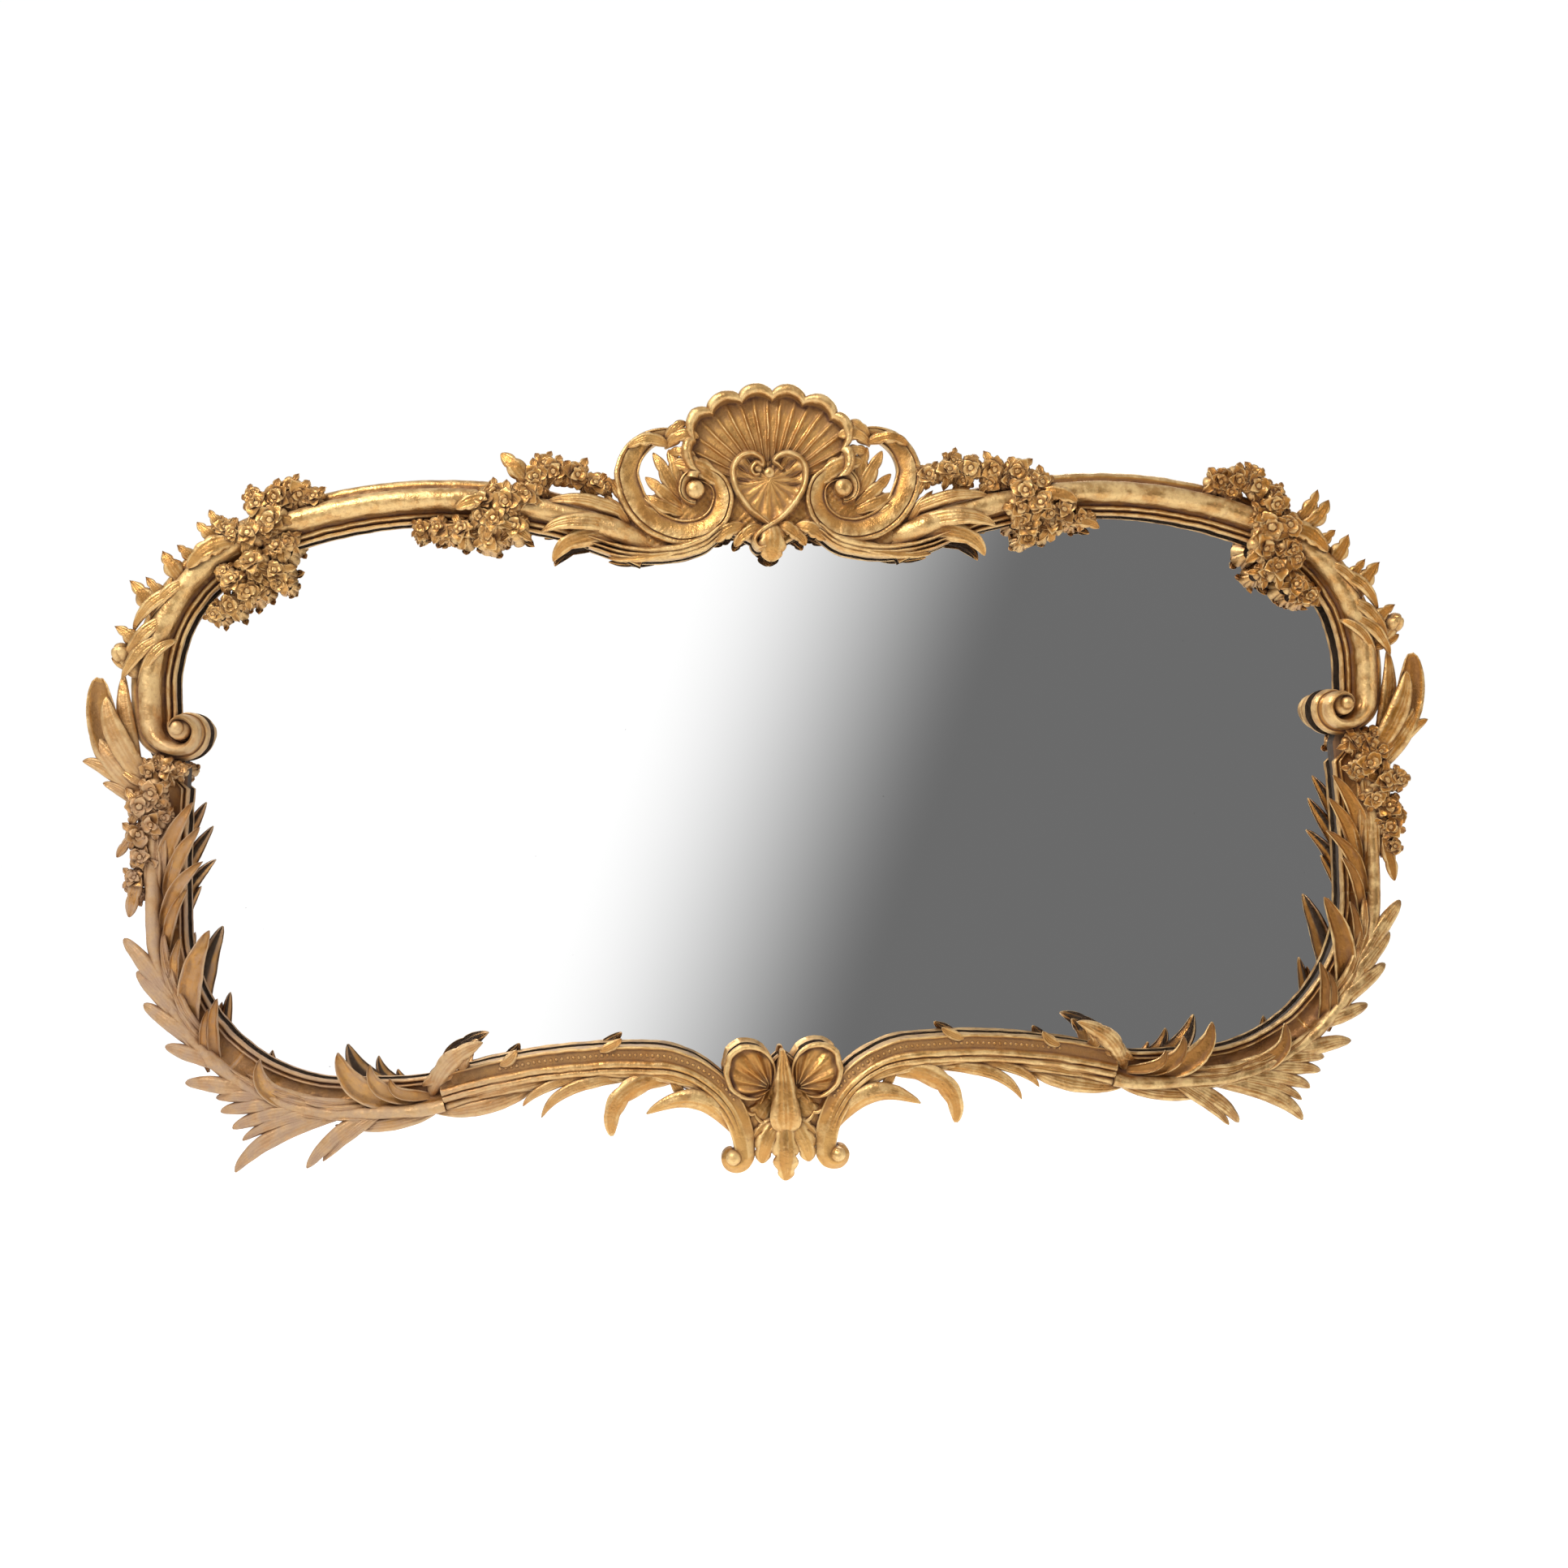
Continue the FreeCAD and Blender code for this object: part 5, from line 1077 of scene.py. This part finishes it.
# %% Woods
def wood(name, early, late, scale, rough, wash_and_rebate_shade):
    material, tree, shader = new_material(name)
    made = use_group(tree, "grain", Scale=scale, Stretch=0.05, Early=early, Late=late)
    deep = use_group(tree, "hollows", Reach=0.03, Strength=1.1)["Mask"]
    stain = use_group(tree, "patches", Scale=6.0, Low=0.45, High=0.75)["Mask"]
    colour = tree.mix(tree.math("MULTIPLY", stain, 0.45), made["Color"], late)
    # painted shade: the wood darkens almost to black where surfaces come close
    colour = tree.mix(tree.math("MULTIPLY", deep, 0.8), colour, (0.035, 0.02, 0.012, 1))
    # a dark wash on the edges, which also paints the shadow in the rebate beside the glass
    if wash_and_rebate_shade:
        facing = tree.add("SeparateXYZ", {0: tree.add("NewGeometry").outputs["Normal"]}).outputs["Y"]
        edge = tree.ramp(tree.math("ABSOLUTE", facing), 0.7, 0.4)
        colour = tree.mix(tree.math("MULTIPLY", edge, 0.9), colour, (0.022, 0.014, 0.009, 1))
    tree.join(shader.inputs["Base Color"], colour)
    tree.join(shader.inputs["Roughness"], tree.math("ADD", rough, tree.math("MULTIPLY", stain, 0.15)))
    bump = tree.add("Bump", {"Height": made["Height"], "Strength": 0.35, "Distance": 0.0006})
    tree.join(shader.inputs["Normal"], bump.outputs[0])
    return material


pine = wood("pine_frame_wood", (0.36, 0.20, 0.09, 1), (0.20, 0.095, 0.04, 1), 170.0, 0.68, True)
board = wood("pine_backboard_wood", (0.30, 0.17, 0.085, 1), (0.14, 0.07, 0.033, 1), 110.0, 0.72, False)
oak = wood("oak_peg_wood", (0.25, 0.13, 0.055, 1), (0.11, 0.05, 0.02, 1), 480.0, 0.6, False)

# %% Mirror plate and metals
plate, tree, shader = new_material("mirror_plate_silvering")
spots = use_group(tree, "patches", Scale=95.0, Low=0.74, High=0.8)["Mask"]
haze = use_group(tree, "patches", Scale=3.0, Low=0.3, High=0.8)["Mask"]
tint = tree.mix(tree.math("MULTIPLY", haze, 0.5), (0.97, 0.97, 0.97, 1), (0.95, 0.955, 0.95, 1))
foxed = tree.mix(tree.math("MULTIPLY", spots, 0.25), tint, (0.3, 0.27, 0.22, 1))
tree.join(shader.inputs["Base Color"], foxed)
tree.join(shader.inputs["Roughness"], tree.math("MULTIPLY", spots, 0.2))
shader.inputs["Metallic"].default_value = 1.0


def metal(name, bright, dull, rough):
    material, tree, shader = new_material(name)
    tarnish = use_group(tree, "patches", Scale=120.0, Low=0.35, High=0.65)["Mask"]
    deep = use_group(tree, "hollows", Reach=0.004, Strength=1.2)["Mask"]
    aged = tree.math("MAXIMUM", tree.math("MULTIPLY", tarnish, 0.7), deep)
    tree.join(shader.inputs["Base Color"], tree.mix(aged, bright, dull))
    tree.join(shader.inputs["Metallic"], tree.math("SUBTRACT", 1.0, tree.math("MULTIPLY", aged, 0.4)))
    tree.join(shader.inputs["Roughness"], tree.math("ADD", rough, tree.math("MULTIPLY", aged, 0.3)))
    marks = use_group(tree, "fine_marks", Scale=900.0)["Height"]
    bump = tree.add("Bump", {"Height": marks, "Strength": 0.2, "Distance": 0.0003})
    tree.join(shader.inputs["Normal"], bump.outputs[0])
    return material


brass = metal("tarnished_brass", (0.72, 0.47, 0.17, 1), (0.22, 0.12, 0.045, 1), 0.3)
steel = metal("old_steel", (0.42, 0.41, 0.40, 1), (0.13, 0.085, 0.06, 1), 0.38)
nail_heads.data.materials.append(steel)

# %% Give every CAD node its finish
def finish(material, *names):
    for name in names:
        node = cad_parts[name]
        node.data.materials.clear()
        node.data.materials.append(material)


framing = [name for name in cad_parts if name.startswith("frame_") and name != "frame_pegs"]
finish(pine, *framing, "glazing_blocks")
finish(board, *[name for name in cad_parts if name.startswith("backboard_")])
finish(oak, "frame_pegs")
finish(plate, "mirror_plate")
finish(brass, "hanger_strap_l", "hanger_strap_r", "hanger_ring_l", "hanger_ring_r")
finish(steel, "hanger_screws")
for name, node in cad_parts.items():
    if not node.hide_render:
        print(name, "wears", node.data.materials[0].name)
for name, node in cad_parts.items():
    if node.hide_render:
        finish(gilding, name)

# %% [markdown]
# ## Stage, light and camera
# The floor is plain and pale. A mirror shows whatever stands before it, so a board
# behind the camera gives the plate something to reflect. It is no lamp, yet it glows,
# and its white fading to grey on a slant is painted light and shade. The board is seen
# only in reflections, in the gilding too. Light comes from a large soft lamp at the
# upper left, a weaker warm one at the right, and the room.

# %% Floor and reflected board
def stage_plane(name, corners):
    mesh = bpy.data.meshes.new(name)
    mesh.from_pydata(corners, [], [range(4)])
    made = bpy.data.objects.new(name, mesh)
    bpy.context.scene.collection.objects.link(made)
    return made


floor = stage_plane("floor", [(-30, -30, -1.1), (30, -30, -1.1), (30, 30, -1.1), (-30, 30, -1.1)])
floor_finish, tree, shader = new_material("pale_floor")
cloud = use_group(tree, "patches", Scale=2.0, Low=0.3, High=0.7)["Mask"]
tree.join(shader.inputs["Base Color"], tree.mix(cloud, (0.93, 0.93, 0.93, 1), (0.95, 0.95, 0.95, 1)))
tree.join(shader.inputs["Emission Color"], tree.mix(cloud, (0.95, 0.95, 0.95, 1), (1.0, 1.0, 1.0, 1)))
shader.inputs["Emission Strength"].default_value = 0.6
shader.inputs["Roughness"].default_value = 0.9
floor.data.materials.append(floor_finish)

BOARD_Y = -2.9
BOARD = [(-4, BOARD_Y, -1.05), (4, BOARD_Y, -1.05), (4, BOARD_Y, 1.6), (-4, BOARD_Y, 1.6)]
backdrop = stage_plane("reflected_board", BOARD)
backdrop.visible_camera = False
backdrop.visible_diffuse = False
backdrop.visible_shadow = False
board_glow = bpy.data.materials.new("glowing_white_to_grey_board")
board_glow.use_nodes = True
board_glow.node_tree.nodes.clear()
tree = Tree(board_glow.node_tree)
place = tree.add("SeparateXYZ", {0: tree.add("TexCoord").outputs["Object"]}).outputs
# painted light and shade: the board glows white at the left and fades to grey on a slant
slant = tree.math("SUBTRACT", place["X"], tree.math("MULTIPLY", place["Z"], 0.39))
share = tree.ramp(slant, -0.28, 0.72)
colour = tree.mix(share, (1.06, 1.06, 1.06, 1), (0.15, 0.15, 0.15, 1))
# the glow is halved in blurred reflections, such as the gilding's
sharp = tree.add("LightPath").outputs["Is Singular Ray"]
glow = tree.add("Emission", {"Color": colour, "Strength": tree.ramp(sharp, 0.0, 1.0, 0.5, 1.0)})
tree.join(tree.add("OutputMaterial").inputs["Surface"], glow.outputs[0])
backdrop.data.materials.append(board_glow)

# %% Lamps and room light
def lamp(name, place, target, size, power, colour):
    data = bpy.data.lights.new(name, "AREA")
    data.size, data.energy, data.color = size, power, colour
    made = bpy.data.objects.new(name, data)
    made.location = place
    made.rotation_euler = (Vector(target) - Vector(place)).to_track_quat("-Z", "Y").to_euler()
    made.visible_glossy = True
    bpy.context.scene.collection.objects.link(made)


lamp("key_lamp", (-1.6, -2.0, 2.2), (0, 0, 0), 1.2, 105, (1.0, 0.97, 0.92))
lamp("fill_lamp", (2.4, -1.8, 0.6), (0.3, 0, 0), 1.2, 15, (1.0, 0.9, 0.76))
lamp("back_lamp", (0.8, 2.4, 1.6), (0, 0, 0), 1.6, 40, (1.0, 1.0, 1.0))
world = bpy.data.worlds.new("studio_room")
bpy.context.scene.world = world
world.use_nodes = True
world.node_tree.nodes.clear()
tree = Tree(world.node_tree)
seen = tree.add("LightPath").outputs["Is Camera Ray"]
height = tree.add("SeparateXYZ", {0: tree.add("TexCoord").outputs["Generated"]}).outputs["Z"]
room = tree.mix(tree.ramp(height, -0.5, 0.8), (0.30, 0.28, 0.26, 1), (0.85, 0.86, 0.88, 1))
glow = tree.add("Background", {"Color": tree.mix(seen, room, (1.4, 1.4, 1.4, 1)), "Strength": 0.72})
tree.join(tree.add("OutputWorld").inputs["Surface"], glow.outputs[0])
bpy.context.scene.view_settings.view_transform = "Standard"

# %% [markdown]
# ## Camera
# The photograph was taken from the mirror's mid height, a little left of its middle,
# turned slightly to the right and rolled by about a degree.

# %% Place the camera
view = bpy.data.cameras.new("photo_camera")
view.sensor_width = 36.0
view.lens = 36.0 * 2300.0 / 1932.0
eye = bpy.data.objects.new("photo_camera", view)
bpy.context.scene.collection.objects.link(eye)
turn = Matrix.Rotation(math.radians(-4.68), 4, "Z") @ Matrix.Rotation(math.radians(1.39), 4, "Y")
stand = Matrix.Translation((-0.1714, -2.2477, 0.0))
eye.matrix_world = stand @ turn @ Matrix.Rotation(math.radians(90), 4, "X")
bpy.context.scene.camera = eye
print("camera at", [round(v, 3) for v in eye.location])
